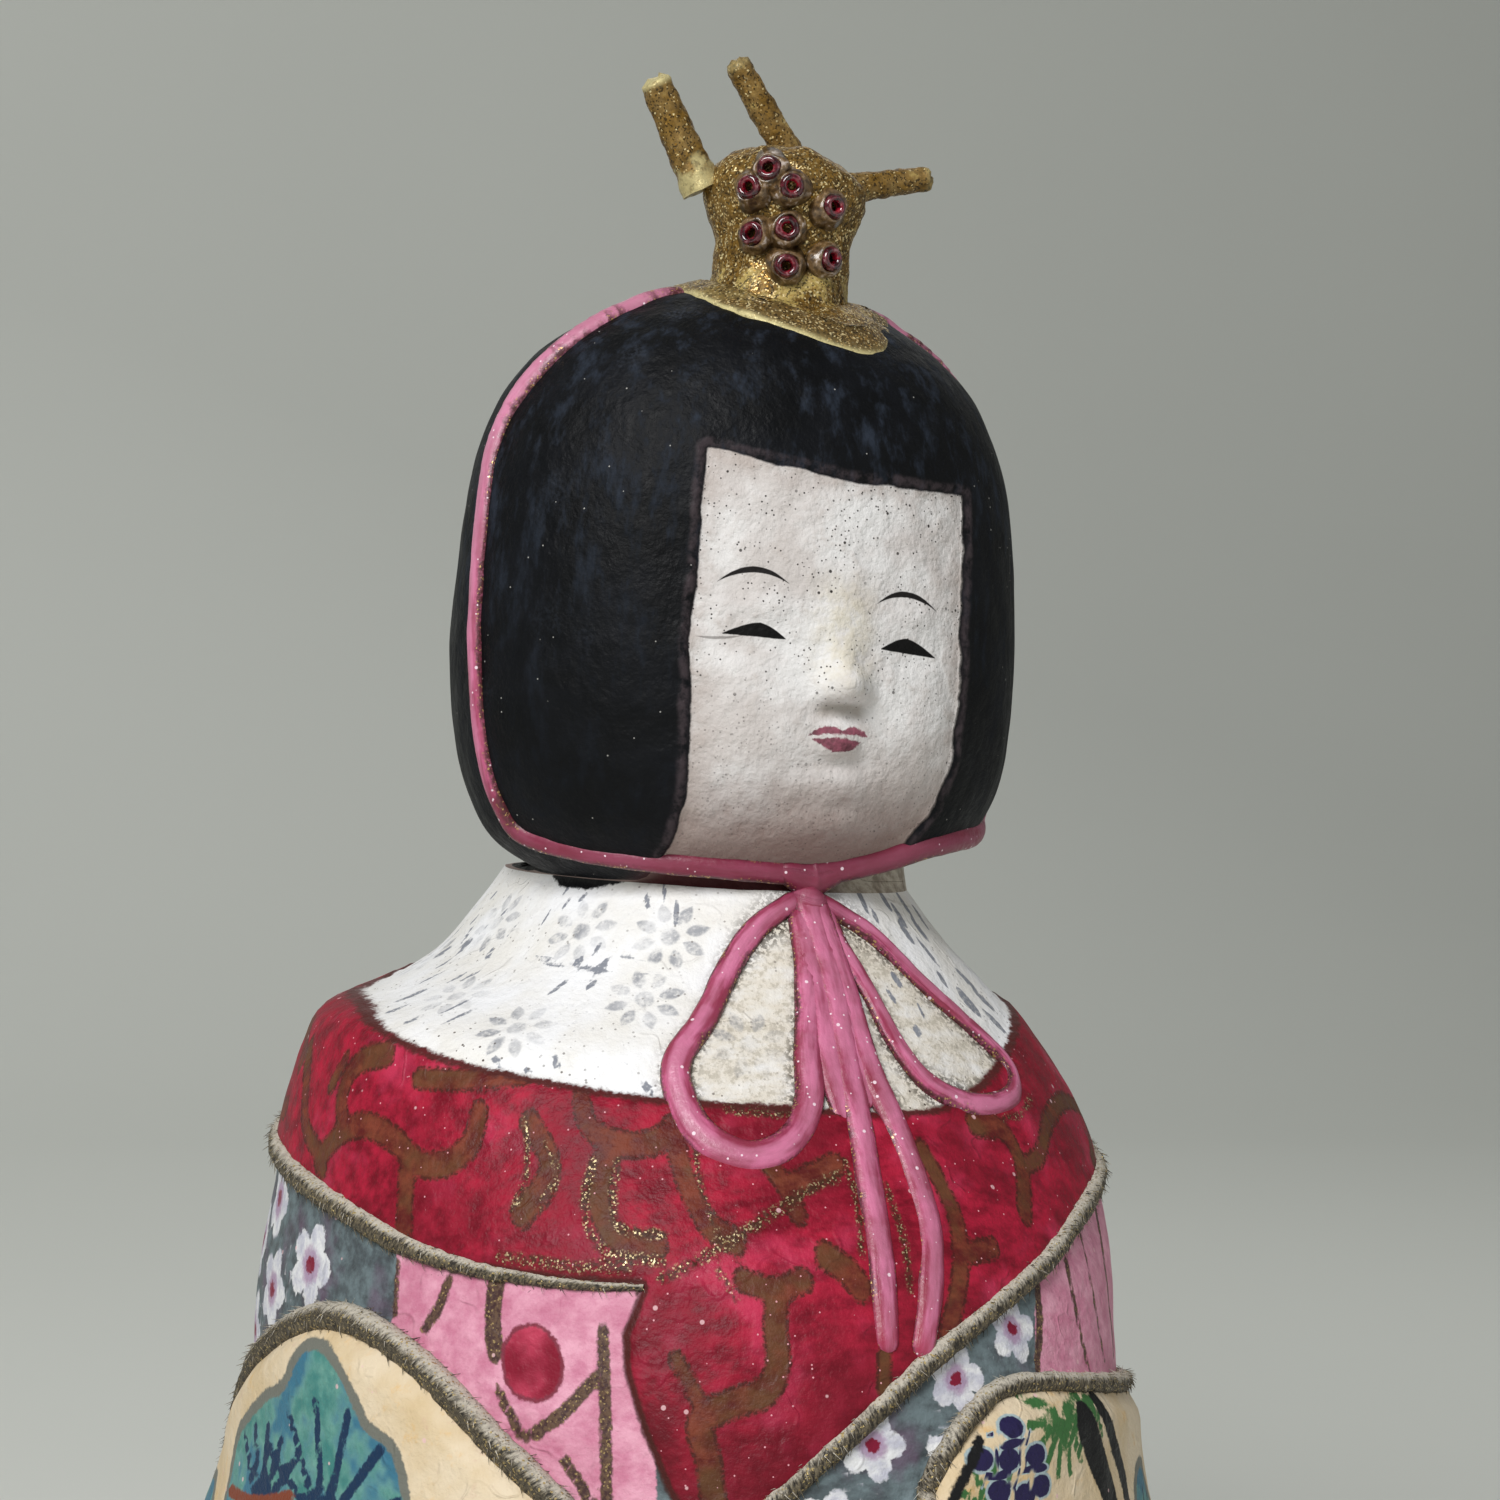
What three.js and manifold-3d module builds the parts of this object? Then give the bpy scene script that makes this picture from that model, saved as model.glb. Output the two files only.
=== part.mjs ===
// Papier-mache princess doll with a gold crown, seated, from the base rim to the crown prongs.
// Millimetres, +Z up. The figure faces -Y and its own left side is on +X.
import * as THREE from 'three';
import { ParametricGeometry } from 'three/addons/geometries/ParametricGeometry.js';
import { mergeVertices } from 'three/addons/utils/BufferGeometryUtils.js';
import Module from 'manifold-3d';

const wasm = await Module();
wasm.setup();

const degree = Math.PI / 180;
const group = new THREE.Group();

// ---------- driving sizes ----------

const aroundSegments = 50;      // faces round the figure
const frontDensity = 0.38;      // 0 spaces the faces evenly, more gathers them at the front
const headLean = 1.5 * degree;  // the head leans toward the figure's right
const neckHeight = 114;         // the lean pivots here
const headMiddle = new THREE.Vector2(0.5, -4.6);
const headDepth = 0.84;         // head depth over head width
const gap = 0.3;                // clearance between pieces that touch

// Robe sections, bottom to neck: height, then reach to the right, left, front and back.
const robeSections = [
  [0, 63, 63, 62, 50],
  [4, 64, 64, 63, 51],
  [14, 59.5, 59.5, 61, 50],
  [28, 52, 52.5, 58, 48],
  [42, 45.2, 47, 54.5, 46],
  [52, 42.4, 43.4, 52, 44.5],
  [60, 41.8, 41, 50.4, 43.5],
  [70, 41.7, 40.8, 48.6, 42.6],
  [80, 40.8, 40.6, 44.6, 41],
  [88, 39.9, 39.6, 38.8, 38.5],
  [94, 38.4, 36.9, 34.5, 36.5],
  [97.5, 36.6, 34.3, 32, 34.5],
  [100, 31.4, 32, 30.2, 32.5],
  [103, 26.2, 28.6, 28, 30.8],
  [108, 21.8, 23.2, 24.4, 27.6],
  [112, 19.2, 19.8, 21.6, 24.6],
];

// Head sections, hair ends to the top of the head: height, then half width.
const headSections = [
  [113, 19],
  [114.6, 21.6],
  [116.6, 23.9],
  [120, 25.9],
  [124.5, 27.3],
  [133, 28],
  [140, 27.8],
  [147, 27.2],
  [152, 26.3],
  [156, 24.9],
  [160, 22.7],
  [163, 20],
  [166, 15.6],
  [168.4, 9.6],
  [169.6, 0],
];

// Soft features of the face: how far each stands out, its middle across and up, and its half size.
const faceFeatures = [
  { feature: 'nose tip', out: 1.7, at: [-0.2, 131.6], size: [1.9, 2.4] },
  { feature: 'nose bridge', out: 0.6, at: [-0.1, 136], size: [1.7, 4] },
  { feature: 'right cheek', out: 0.7, at: [-8, 126.5], size: [5, 6] },
  { feature: 'left cheek', out: 0.7, at: [8, 126.5], size: [5, 6] },
  { feature: 'lips', out: 0.7, at: [0.2, 125.9], size: [3, 1.5] },
  { feature: 'chin', out: 0.9, at: [0.3, 119.4], size: [4.5, 3] },
  { feature: 'right eye hollow', out: -0.35, at: [-7.8, 137.6], size: [3.4, 2.2] },
  { feature: 'left eye hollow', out: -0.35, at: [7, 137.4], size: [3.4, 2.2] },
];

// Upper edges of the two sleeves: turn in degrees from the front, then height.
const rightSleeveEdge = [[-128, 22], [-116, 44], [-100, 60.7], [-90, 66.1], [-74, 71.9], [-60, 70.4],
  [-47, 63.9], [-34, 57], [-18, 50.5], [-4, 47]];
const leftSleeveEdge = [[-3, 30], [-3.5, 47], [1.5, 62.9], [8.5, 69.1], [18, 70.9], [43, 68.1],
  [66, 64.5], [92, 56], [110, 42], [122, 22]];
const sleeveSwell = 2.4;        // how far a sleeve stands out from the robe
const sleeveHem = 19;           // height of the sleeve ends
const hemFolds = 8;             // soft folds round the skirt below the sleeves
const hemFoldDepth = 0.6;

// Lower edge of the red collar, once round the figure to where its front ends cross.
const collarEdge = [[-31, 78.7], [-41, 78.4], [-53, 78.6], [-64, 79.7], [-76, 81.5], [-100, 83.9],
  [-140, 86.5], [180, 87], [140, 87], [100, 87], [60, 85.9], [38, 83.3], [25, 80.1], [13.5, 77.1],
  [3, 73.3], [-6, 68.7], [-14, 63.9], [-24, 57.5]];
const rimRadius = 1.8;          // gilded rims of paper pulp
const rimSink = 0.6;            // how deep their middle lies under the robe

// The chin cord and its bow.
const cordRadius = 1.0;
const cordSink = 0.5;
const hairCord = [[-60, 168.4], [-71, 166.4], [-79, 161.4], [-86, 155], [-84.5, 146], [-83.5, 136],
  [-81.5, 126], [-80.5, 119.5], [-77, 116.6], [-62, 115.3], [-40, 114.6], [-18, 114.1], [0, 113.8], [18, 114.4], [40, 115.2],
  [62, 116], [77, 117.5], [80.5, 120.5], [81.5, 127], [83.5, 137], [84.5, 147], [86, 155], [79, 161.4],
  [71, 166.4], [60, 168.4]];
const bowRadius = 1.55;
const bowSink = 0.55;
const knotRadius = 2.6;
const knotTurn = 2;
const knotHeight = 111.4;
const bowLeftLoop = [[-1, 111.6], [-14, 108.5], [-21, 104.3], [-23, 99.7], [-24, 95.1], [-21.5, 91.1],
  [-16, 89.4], [-10, 90.7], [-6, 94.5], [-4.5, 101], [-1.5, 109]];
const bowRightLoop = [[3, 111.6], [17.5, 108.3], [25, 103.9], [30.5, 100.3], [35, 96.8], [31.5, 94], [22, 93.4],
  [14.5, 95.3], [11, 98.7], [9, 104.3], [4, 110]];
const bowTails = [
  [[1, 112], [1.5, 104.3], [0.5, 97.5], [0, 90.9], [-1, 84.5], [-2, 79], [-2.5, 74.1]],
  [[3, 112], [4, 104.3], [4, 97.5], [6, 90.9], [6.5, 84.5], [4.5, 79.1], [1.8, 73.6]],
];

// The crown: middle of its foot, and the profile of the cup from inside the hair to the top.
const crownMiddle = new THREE.Vector2(0.4, -9);
const cupProfile = [[0, 161], [8, 161], [8, 167], [7.2, 168.4], [6.4, 171], [6.6, 174.4],
  [7.6, 177.6], [7.9, 179.2], [6.9, 181.4], [4.2, 182.9], [0, 183.4]];
const footMiddle = new THREE.Vector2(1.6, -10);
const footRadius = 11;
const footThickness = 1;
const footReach = 20;           // the foot's cutting cylinder runs this far each way from the hair
const hairTop = 169.6;
const prongTaper = 0.85;        // the glued end is this much slimmer
const prongs = {
  crown_prong_left: { foot: [-6.9, -7.4, 176.6], tip: [-12.9, -7, 188.4], radius: 1.25 },
  crown_prong_middle: { foot: [2.9, -7.5, 181.4], tip: [-4.9, -7.5, 191.6], radius: 1.1 },
  crown_prong_right: { foot: [6.2, -9.8, 180.2], tip: [15.1, -10, 182.4], radius: 0.9 },
};
const beads = [[-36, 180], [-48, 178.2], [-21, 178.4], [9, 177], [-48, 174], [-22, 174.6], [14, 172.2],
  [-21, 171]];
const beadRadius = 1.2;
const beadHole = 0.42;
const beadLength = 1.6;         // length of a bead over the thickness of its wall

// ---------- finishes ----------

function finish(colour, roughness, metalness = 0) {
  return new THREE.MeshStandardMaterial({ color: colour, roughness, metalness });
}

const paintedPaper = finish('#a5243c', 0.6);
const giltPulp = finish('#8f7134', 0.55, 0.5);
const redGlass = finish('#7d1420', 0.2);

// ---------- joining and placing ----------

function toManifold(geometry) {
  const bare = geometry.clone();
  bare.deleteAttribute('normal');
  bare.deleteAttribute('uv');
  const merged = mergeVertices(bare, 1e-4);
  const corners = merged.index.array;
  const kept = [];
  for (let i = 0; i < corners.length; i += 3) {
    const [a, b, c] = corners.slice(i, i + 3);
    if (a !== b && b !== c && c !== a) kept.push(a, b, c);
  }
  const vertProperties = new Float32Array(merged.attributes.position.array);
  return new wasm.Manifold(new wasm.Mesh({ numProp: 3, vertProperties, triVerts: new Uint32Array(kept) }));
}

function toGeometry(solid) {
  const mesh = solid.getMesh();
  const geometry = new THREE.BufferGeometry();
  geometry.setAttribute('position', new THREE.BufferAttribute(mesh.vertProperties, 3));
  geometry.setIndex(new THREE.BufferAttribute(mesh.triVerts, 1));
  return geometry;
}

function addPiece(name, solid, material) {
  const mesh = new THREE.Mesh(toGeometry(solid), material);
  mesh.name = name;
  group.add(mesh);
}

// ---------- smooth tables ----------

// Reads a table of rows [height, value, ...] at any height, with a smooth curve through the rows.
function smoothRow(table, height) {
  const last = table.length - 1;
  const at = THREE.MathUtils.clamp(height, table[0][0], table[last][0]);
  let row = 0;
  while (row < last - 1 && table[row + 1][0] < at) row += 1;
  const slope = (i, column) => (table[i + 1][column] - table[i][column]) / (table[i + 1][0] - table[i][0]);
  const tangent = (i, column) => {
    if (i === 0) return slope(0, column);
    if (i === last) return slope(last - 1, column);
    return (slope(i - 1, column) + slope(i, column)) / 2;
  };
  const span = table[row + 1][0] - table[row][0];
  const t = (at - table[row][0]) / span;
  return table[0].slice(1).map((_, i) => {
    const column = i + 1;
    return (2 * t ** 3 - 3 * t ** 2 + 1) * table[row][column]
      + (t ** 3 - 2 * t ** 2 + t) * span * tangent(row, column)
      + (3 * t ** 2 - 2 * t ** 3) * table[row + 1][column]
      + (t ** 3 - t ** 2) * span * tangent(row + 1, column);
  });
}

function bump(x, z, middleX, middleZ, widthX, widthZ) {
  return Math.exp(-(((x - middleX) / widthX) ** 2) - ((z - middleZ) / widthZ) ** 2);
}

// ---------- the moulded figure ----------

function sleeveRelief(turn, height, edge) {
  const angle = turn / degree;
  const first = edge[0][0];
  const last = edge[edge.length - 1][0];
  if (angle <= first || angle >= last) return 0;
  const top = smoothRow(edge, angle)[0];
  const below = THREE.MathUtils.smoothstep(top - height, -1.5, 3.5);
  const above = THREE.MathUtils.smoothstep(height - sleeveHem, -1, 3);
  const side = THREE.MathUtils.smoothstep(Math.min(angle - first, last - angle), 0, 5);
  return sleeveSwell * below * above * side;
}

function hemRelief(turn, height) {
  const low = 1 - THREE.MathUtils.smoothstep(height, sleeveHem - 8, sleeveHem + 4);
  return hemFoldDepth * Math.cos(hemFolds * turn) * low;
}

function robePoint(turn, height) {
  const [right, left, front, back] = smoothRow(robeSections, height);
  const sine = Math.sin(turn);
  const cosine = Math.cos(turn);
  const relief = sleeveRelief(turn, height, rightSleeveEdge) + sleeveRelief(turn, height, leftSleeveEdge)
    + hemRelief(turn, height);
  const reachX = (sine < 0 ? right : left) + relief;
  const reachY = (cosine > 0 ? front : back) + relief;
  return new THREE.Vector3(reachX * sine, -reachY * cosine, height);
}

function faceRelief(x, z) {
  return faceFeatures.reduce(
    (sum, { out, at, size }) => sum + out * bump(x, z, at[0], at[1], size[0], size[1]),
    0,
  );
}

function headPoint(turn, height, thicker = 0) {
  const [halfWidth] = smoothRow(headSections, height);
  const x = (halfWidth + thicker) * Math.sin(turn);
  const front = Math.cos(turn) > 0 ? faceRelief(x, height) : 0;
  const y = headMiddle.y - (headDepth * halfWidth + thicker + front) * Math.cos(turn);
  const point = new THREE.Vector3(headMiddle.x + x, y, height + thicker - neckHeight);
  point.applyAxisAngle(new THREE.Vector3(0, 1, 0), -headLean);
  point.z += neckHeight;
  return point;
}

const robeRows = [0, 4, 10, 16, 19, 22, 28, 34, 40, 46, 52, 57, 62, 66, 69.5, 73, 77, 82, 87, 91, 94,
  96.5, 98.5, 100.5, 103.5, 107, 112];
const headRows = [113, 114.6, 116.6, 119.5, 122.5, 126, 129, 131.5, 134, 138, 144, 150, 155, 159.5,
  163, 166, 168.4, 169.6];

function turnAt(u) {
  const even = (u * 2 - 1) * Math.PI;
  return even - frontDensity * Math.sin(even);
}

function figureSkin() {
  const rowCount = robeRows.length + headRows.length;
  const onSkin = (u, v, target) => {
    const turn = turnAt(u);
    const row = Math.round(v * rowCount);
    if (row === 0) {
      target.set(0, 0, 0);
    } else if (row <= robeRows.length) {
      target.copy(robePoint(turn, robeRows[row - 1]));
    } else if (row < rowCount) {
      target.copy(headPoint(turn, headRows[row - 1 - robeRows.length]));
    } else {
      target.copy(headPoint(0, headRows[headRows.length - 1]));
    }
  };
  return toManifold(new ParametricGeometry(onSkin, aroundSegments, rowCount));
}

// ---------- cords and rims laid on the figure ----------

// A round cord of pulp along [turn, height] points, its middle sunk a little into the skin.
function laidCord(surface, route, radius, sink, sides, spacing) {
  const points = route.map(([angle, height]) => {
    const point = surface(angle * degree, height);
    const inward = new THREE.Vector3(-point.x, -point.y, 0).normalize();
    return point.addScaledVector(inward, sink);
  });
  const path = new THREE.CatmullRomCurve3(points, false, 'centripetal');
  const section = new THREE.Shape();
  for (let i = 0; i < sides; i += 1) {
    const angle = (i / sides) * Math.PI * 2;
    if (i === 0) section.moveTo(radius, 0);
    else section.lineTo(radius * Math.cos(angle), radius * Math.sin(angle));
  }
  section.closePath();
  const steps = Math.ceil(path.getLength() / spacing);
  return toManifold(new THREE.ExtrudeGeometry(section, { steps, extrudePath: path, bevelEnabled: false }));
}

// Fills a route in so that its cord keeps to the skin between the points given.
function denser(route, extra) {
  const flat = route.map(([angle, height]) => new THREE.Vector3(angle, height, 0));
  for (let i = 1; i < flat.length; i += 1) {
    while (flat[i].x - flat[i - 1].x > 180) flat[i].x -= 360;
    while (flat[i].x - flat[i - 1].x < -180) flat[i].x += 360;
  }
  const curve = new THREE.CatmullRomCurve3(flat, false, 'centripetal');
  return curve.getPoints((route.length - 1) * extra).map((point) => [point.x, point.y]);
}

let figure = figureSkin();
for (const edge of [collarEdge, rightSleeveEdge, leftSleeveEdge]) {
  figure = figure.add(laidCord(robePoint, denser(edge, 3), rimRadius, rimSink, 5, 7));
}
figure = figure.add(laidCord(headPoint, denser(hairCord, 2), cordRadius, cordSink, 4, 7));
for (const strand of [bowLeftLoop, bowRightLoop, ...bowTails]) {
  figure = figure.add(laidCord(robePoint, denser(strand, 2), bowRadius, bowSink, 5, 4));
}
const knot = new THREE.SphereGeometry(knotRadius, 10, 7);
const knotPlace = robePoint(knotTurn * degree, knotHeight);
knot.translate(knotPlace.x, knotPlace.y, knotPlace.z);
figure = figure.add(toManifold(knot));

// ---------- the crown ----------

// The hair's own surface pushed out by the foot's thickness, closed below.
function thickerHead() {
  const top = headRows.slice(-6);
  const onHead = (u, v, target) => {
    const row = Math.round(v * top.length);
    if (row === 0) target.set(0, 0, top[0] - 2);
    else target.copy(headPoint(row < top.length ? turnAt(u) : 0, top[row - 1], footThickness));
  };
  return toManifold(new ParametricGeometry(onHead, aroundSegments, top.length));
}

function cupSolid() {
  const profile = cupProfile.map(([radius, height]) => new THREE.Vector2(radius, height));
  const cup = new THREE.LatheGeometry(profile, 18);
  cup.rotateX(Math.PI / 2);
  cup.translate(crownMiddle.x, crownMiddle.y, 0);
  const foot = new THREE.CylinderGeometry(footRadius, footRadius, 2 * footReach, 14);
  foot.rotateX(Math.PI / 2);
  foot.translate(footMiddle.x, footMiddle.y, hairTop);
  return toManifold(foot).intersect(thickerHead()).add(toManifold(cup));
}

function prongSolid({ foot, tip, radius }) {
  const start = new THREE.Vector3(...foot);
  const end = new THREE.Vector3(...tip);
  const along = end.clone().sub(start);
  const upright = new THREE.Vector3(0, 1, 0);
  const prong = new THREE.CylinderGeometry(radius, radius * prongTaper, along.length(), 8);
  prong.translate(0, along.length() / 2, 0);
  prong.applyQuaternion(new THREE.Quaternion().setFromUnitVectors(upright, along.normalize()));
  prong.translate(start.x, start.y, start.z);
  return toManifold(prong);
}

function beadSolid([angle, height]) {
  const middle = (beadRadius + beadHole) / 2;
  const thick = (beadRadius - beadHole) / 2;
  const bead = new THREE.TorusGeometry(middle, thick, 5, 8);
  bead.scale(1, 1, beadLength);
  bead.rotateX(Math.PI / 2);
  const profile = cupProfile.slice(3).map(([radius, level]) => [level, radius]);
  const reach = smoothRow(profile, height)[0] + gap + thick * beadLength;
  bead.rotateZ(angle * degree);
  bead.translate(
    crownMiddle.x + reach * Math.sin(angle * degree),
    crownMiddle.y - reach * Math.cos(angle * degree),
    height,
  );
  return toManifold(bead);
}

const cup = cupSolid().subtract(figure).translate([0, 0, gap]);

addPiece('papier_mache_figure', figure, paintedPaper);
addPiece('crown_cup', cup, giltPulp);
for (const [name, prong] of Object.entries(prongs)) {
  const away = new THREE.Vector3(...prong.tip).sub(new THREE.Vector3(...prong.foot)).setLength(gap);
  addPiece(name, prongSolid(prong).subtract(cup).translate(away.toArray()), giltPulp);
}
beads.forEach((bead, i) => addPiece(`crown_bead_${i + 1}`, beadSolid(bead), redGlass));

// Stand the figure on its base, with the middle of its outline over the origin.
group.updateMatrixWorld(true);
const outline = new THREE.Box3().setFromObject(group);
const outlineMiddle = outline.getCenter(new THREE.Vector3());
group.position.set(-outlineMiddle.x, -outlineMiddle.y, -outline.min.z);

export default group;
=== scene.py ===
# %% [markdown]
# # A papier-mache festival doll
# The real thing is a hollow doll pressed over a mould from layers of paper,
# primed white with ground shell and glue, and painted by hand.
# Its body, cloak and head are one shell. A crown of gilded paper pulp stands
# on the hair, with three rolled paper pegs and eight glass beads glued to it.
# Each step below makes one of these, in the order a maker would.

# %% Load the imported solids
import math

import bpy
import numpy as np
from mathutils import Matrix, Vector, noise


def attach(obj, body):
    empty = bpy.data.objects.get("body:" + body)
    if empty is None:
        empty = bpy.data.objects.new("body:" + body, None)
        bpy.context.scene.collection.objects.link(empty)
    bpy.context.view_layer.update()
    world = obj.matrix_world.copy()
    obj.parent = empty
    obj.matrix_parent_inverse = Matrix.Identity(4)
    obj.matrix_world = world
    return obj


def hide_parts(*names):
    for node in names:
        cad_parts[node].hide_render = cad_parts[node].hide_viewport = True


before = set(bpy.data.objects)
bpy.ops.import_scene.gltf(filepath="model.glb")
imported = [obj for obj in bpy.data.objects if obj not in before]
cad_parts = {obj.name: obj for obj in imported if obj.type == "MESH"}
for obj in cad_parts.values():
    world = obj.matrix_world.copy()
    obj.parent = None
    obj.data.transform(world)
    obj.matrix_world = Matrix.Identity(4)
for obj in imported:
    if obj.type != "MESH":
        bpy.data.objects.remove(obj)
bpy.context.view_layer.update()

# %% [markdown]
# ## Sizes and places
# The doll is worked out in millimetres about its turning axis, as a potter
# would describe a pot: a turn in degrees, where 0 is the front and positive
# turns go to the doll's left, and a height above the table.
# Blender works in metres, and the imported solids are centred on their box, so
# one small function takes millimetres to the shared frame.

# %% Millimetres to the shared frame
axis_offset = (0.0, 6.0, 0.0)


def to_frame(points):
    """Points in mm about the turning axis, as metres in the shared frame."""
    return (np.asarray(points, float) + axis_offset) / 1000


def frame_vector(x, y, z):
    """One point in mm about the turning axis, as a Blender vector."""
    return Vector(to_frame((x, y, z)))


def add_object(name, data):
    """A new object in the scene that holds a mesh, a light or a camera."""
    thing = bpy.data.objects.new(name, data)
    bpy.context.scene.collection.objects.link(thing)
    return thing


# %% [markdown]
# ## The camera
# The doll is looked at from its right, a little above chest height, through a
# rather long lens, and the camera leans slightly. Its matrix is built from
# three directions at right angles: to the right, up, and back towards the eye.

# %% The camera
view_turn = math.radians(25)
view_roll = math.radians(3.2)
view_distance = 300
view_height = 125
view_sideways = 3.8


def place_camera():
    """A camera that looks at the doll from its right and leans a little."""
    ahead = Vector((math.sin(view_turn), math.cos(view_turn), 0))
    level_right = Vector((math.cos(view_turn), -math.sin(view_turn), 0))
    level_up = Vector((0, 0, 1))
    right = level_right * math.cos(view_roll) + level_up * math.sin(view_roll)
    up = level_up * math.cos(view_roll) - level_right * math.sin(view_roll)
    eye = level_right * view_sideways - ahead * view_distance
    data = bpy.data.cameras.new("portrait_lens")
    data.lens = 72
    data.sensor_width = 36
    data.clip_start = 0.01
    camera = add_object("portrait_camera", data)
    matrix = camera.matrix_world.copy()
    for row in range(3):
        matrix[row][0] = right[row]
        matrix[row][1] = up[row]
        matrix[row][2] = -ahead[row]
        matrix[row][3] = frame_vector(eye.x, eye.y, view_height)[row]
    camera.matrix_world = matrix
    bpy.context.scene.camera = camera
    return camera


camera = place_camera()
print("camera stands at", [round(v, 3) for v in camera.matrix_world.translation])

# %% [markdown]
# ## Smooth curves from a few measured places
# A mould is described by a few measured cross-sections, and the shape runs
# smoothly between them. The curve used is a Hermite curve: it passes through
# each measured place, with a slope that is the mean of the slopes beside it.

# %% Smooth tables and steps
def smooth_row(table, at):
    """The table's values at any place along its first column, on a smooth curve."""
    table = np.asarray(table, float)
    places, values = table[:, 0], table[:, 1:]
    slope = np.diff(values, axis=0) / np.diff(places)[:, None]
    tangent = np.vstack([slope[:1], (slope[1:] + slope[:-1]) / 2, slope[-1:]])
    at = np.clip(np.asarray(at, float), places[0], places[-1])
    low = np.clip(np.searchsorted(places, at) - 1, 0, len(places) - 2)
    width = (places[low + 1] - places[low])[..., None]
    part = (at - places[low])[..., None] / width
    start = (2 * part**3 - 3 * part**2 + 1) * values[low]
    end = (3 * part**2 - 2 * part**3) * values[low + 1]
    leave = (part**3 - 2 * part**2 + part) * width * tangent[low]
    arrive = (part**3 - part**2) * width * tangent[low + 1]
    return start + end + leave + arrive


def smooth_step(value, low, high):
    """0 below low, 1 above high, and a smooth ramp between."""
    part = np.clip((np.asarray(value, float) - low) / (high - low), 0, 1)
    return part * part * (3 - 2 * part)


# %% [markdown]
# ## The moulded shell
# The cloak and the head are each a lathe shape whose reach differs to the
# right, left, front and back. The cloak has two sleeves that swell out under
# curved edges, and soft folds at its hem. The head leans slightly, and its
# face has a low relief of cheeks, nose, lips and chin.
# A single skin is wrapped over both, because the real shell has no joint.

# %% The cloak's sections and sleeves
robe_sections = [
    (0, 63, 63, 62, 50), (4, 64, 64, 63, 51), (14, 59.5, 59.5, 61, 50),
    (28, 52, 52.5, 58, 48), (42, 45.2, 47, 54.5, 46), (52, 42.4, 43.4, 52, 44.5),
    (60, 41.8, 41, 50.4, 43.5), (70, 41.7, 40.8, 48.6, 42.6), (80, 40.8, 40.6, 44.6, 41),
    (88, 39.9, 39.6, 38.8, 38.5), (94, 38.4, 36.9, 34.5, 36.5),
    (97.5, 36.6, 34.3, 32, 34.5), (100, 31.4, 32, 30.2, 32.5),
    (103, 26.2, 28.6, 28, 30.8), (108, 21.8, 23.2, 24.4, 27.6),
    (112, 19.2, 19.8, 21.6, 24.6),
]
right_sleeve_edge = [
    (-128, 22), (-116, 44), (-100, 60.7), (-90, 66.1), (-74, 71.9),
    (-60, 70.4), (-47, 63.9), (-34, 57), (-18, 50.5), (-4, 47),
]
left_sleeve_edge = [
    (-3, 30), (-2.5, 47), (1.5, 62.9), (8.5, 69.1), (18, 70.9),
    (43, 68.1), (66, 64.5), (92, 56), (110, 42), (122, 22),
]
sleeve_swell = 2.4
sleeve_hem = 19
hem_folds = 8
hem_fold_depth = 0.6


def sleeve_relief(turn, height, edge):
    """How far a sleeve stands proud of the cloak, in mm."""
    first, last = edge[0][0], edge[-1][0]
    top = smooth_row(edge, turn)[..., 0]
    below = smooth_step(top - height, -1.5, 3.5)
    above = smooth_step(height - sleeve_hem, -1, 3)
    side = smooth_step(np.minimum(turn - first, last - turn), 0, 5)
    return sleeve_swell * below * above * side


def robe_point(turn, height):
    """The cloak's surface in mm, for turns in degrees and heights in mm."""
    turn, height = np.broadcast_arrays(np.asarray(turn, float), np.asarray(height, float))
    reach = smooth_row(robe_sections, height)
    sine, cosine = np.sin(np.radians(turn)), np.cos(np.radians(turn))
    relief = sleeve_relief(turn, height, right_sleeve_edge)
    relief = relief + sleeve_relief(turn, height, left_sleeve_edge)
    hem = 1 - smooth_step(height, sleeve_hem - 8, sleeve_hem + 4)
    relief = relief + hem_fold_depth * np.cos(np.radians(hem_folds * turn)) * hem
    across = np.where(sine < 0, reach[..., 0], reach[..., 1]) + relief
    along = np.where(cosine > 0, reach[..., 2], reach[..., 3]) + relief
    return np.stack([across * sine, -along * cosine, height], -1)


print("cloak reach at the chest:", robe_point([-90, 0, 90], 70).round(1).tolist())

# %% The head's sections and the face's low relief
head_sections = [
    (113, 19), (114.6, 21.6), (116.6, 23.9), (120, 25.9), (124.5, 27.3), (133, 28),
    (140, 27.8), (147, 27.2), (152, 26.3), (156, 24.9), (160, 22.7), (163, 20),
    (166, 15.6), (168.4, 9.6), (169.6, 0),
]
head_middle = (0.5, -4.6)
head_depth = 0.84
head_lean = math.radians(1.5)
neck_height = 114
face_mounds = [
    # out, across, height, half width, half height
    (1.7, -0.2, 131.6, 1.9, 2.4), (0.6, -0.1, 136, 1.7, 4),
    (0.7, -8, 126.5, 5, 6), (0.7, 8, 126.5, 5, 6), (0.7, 0.2, 125.9, 3, 1.5),
    (0.9, 0.3, 119.4, 4.5, 3), (-0.35, -7.8, 137.6, 3.4, 2.2), (-0.35, 7, 137.4, 3.4, 2.2),
]
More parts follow.
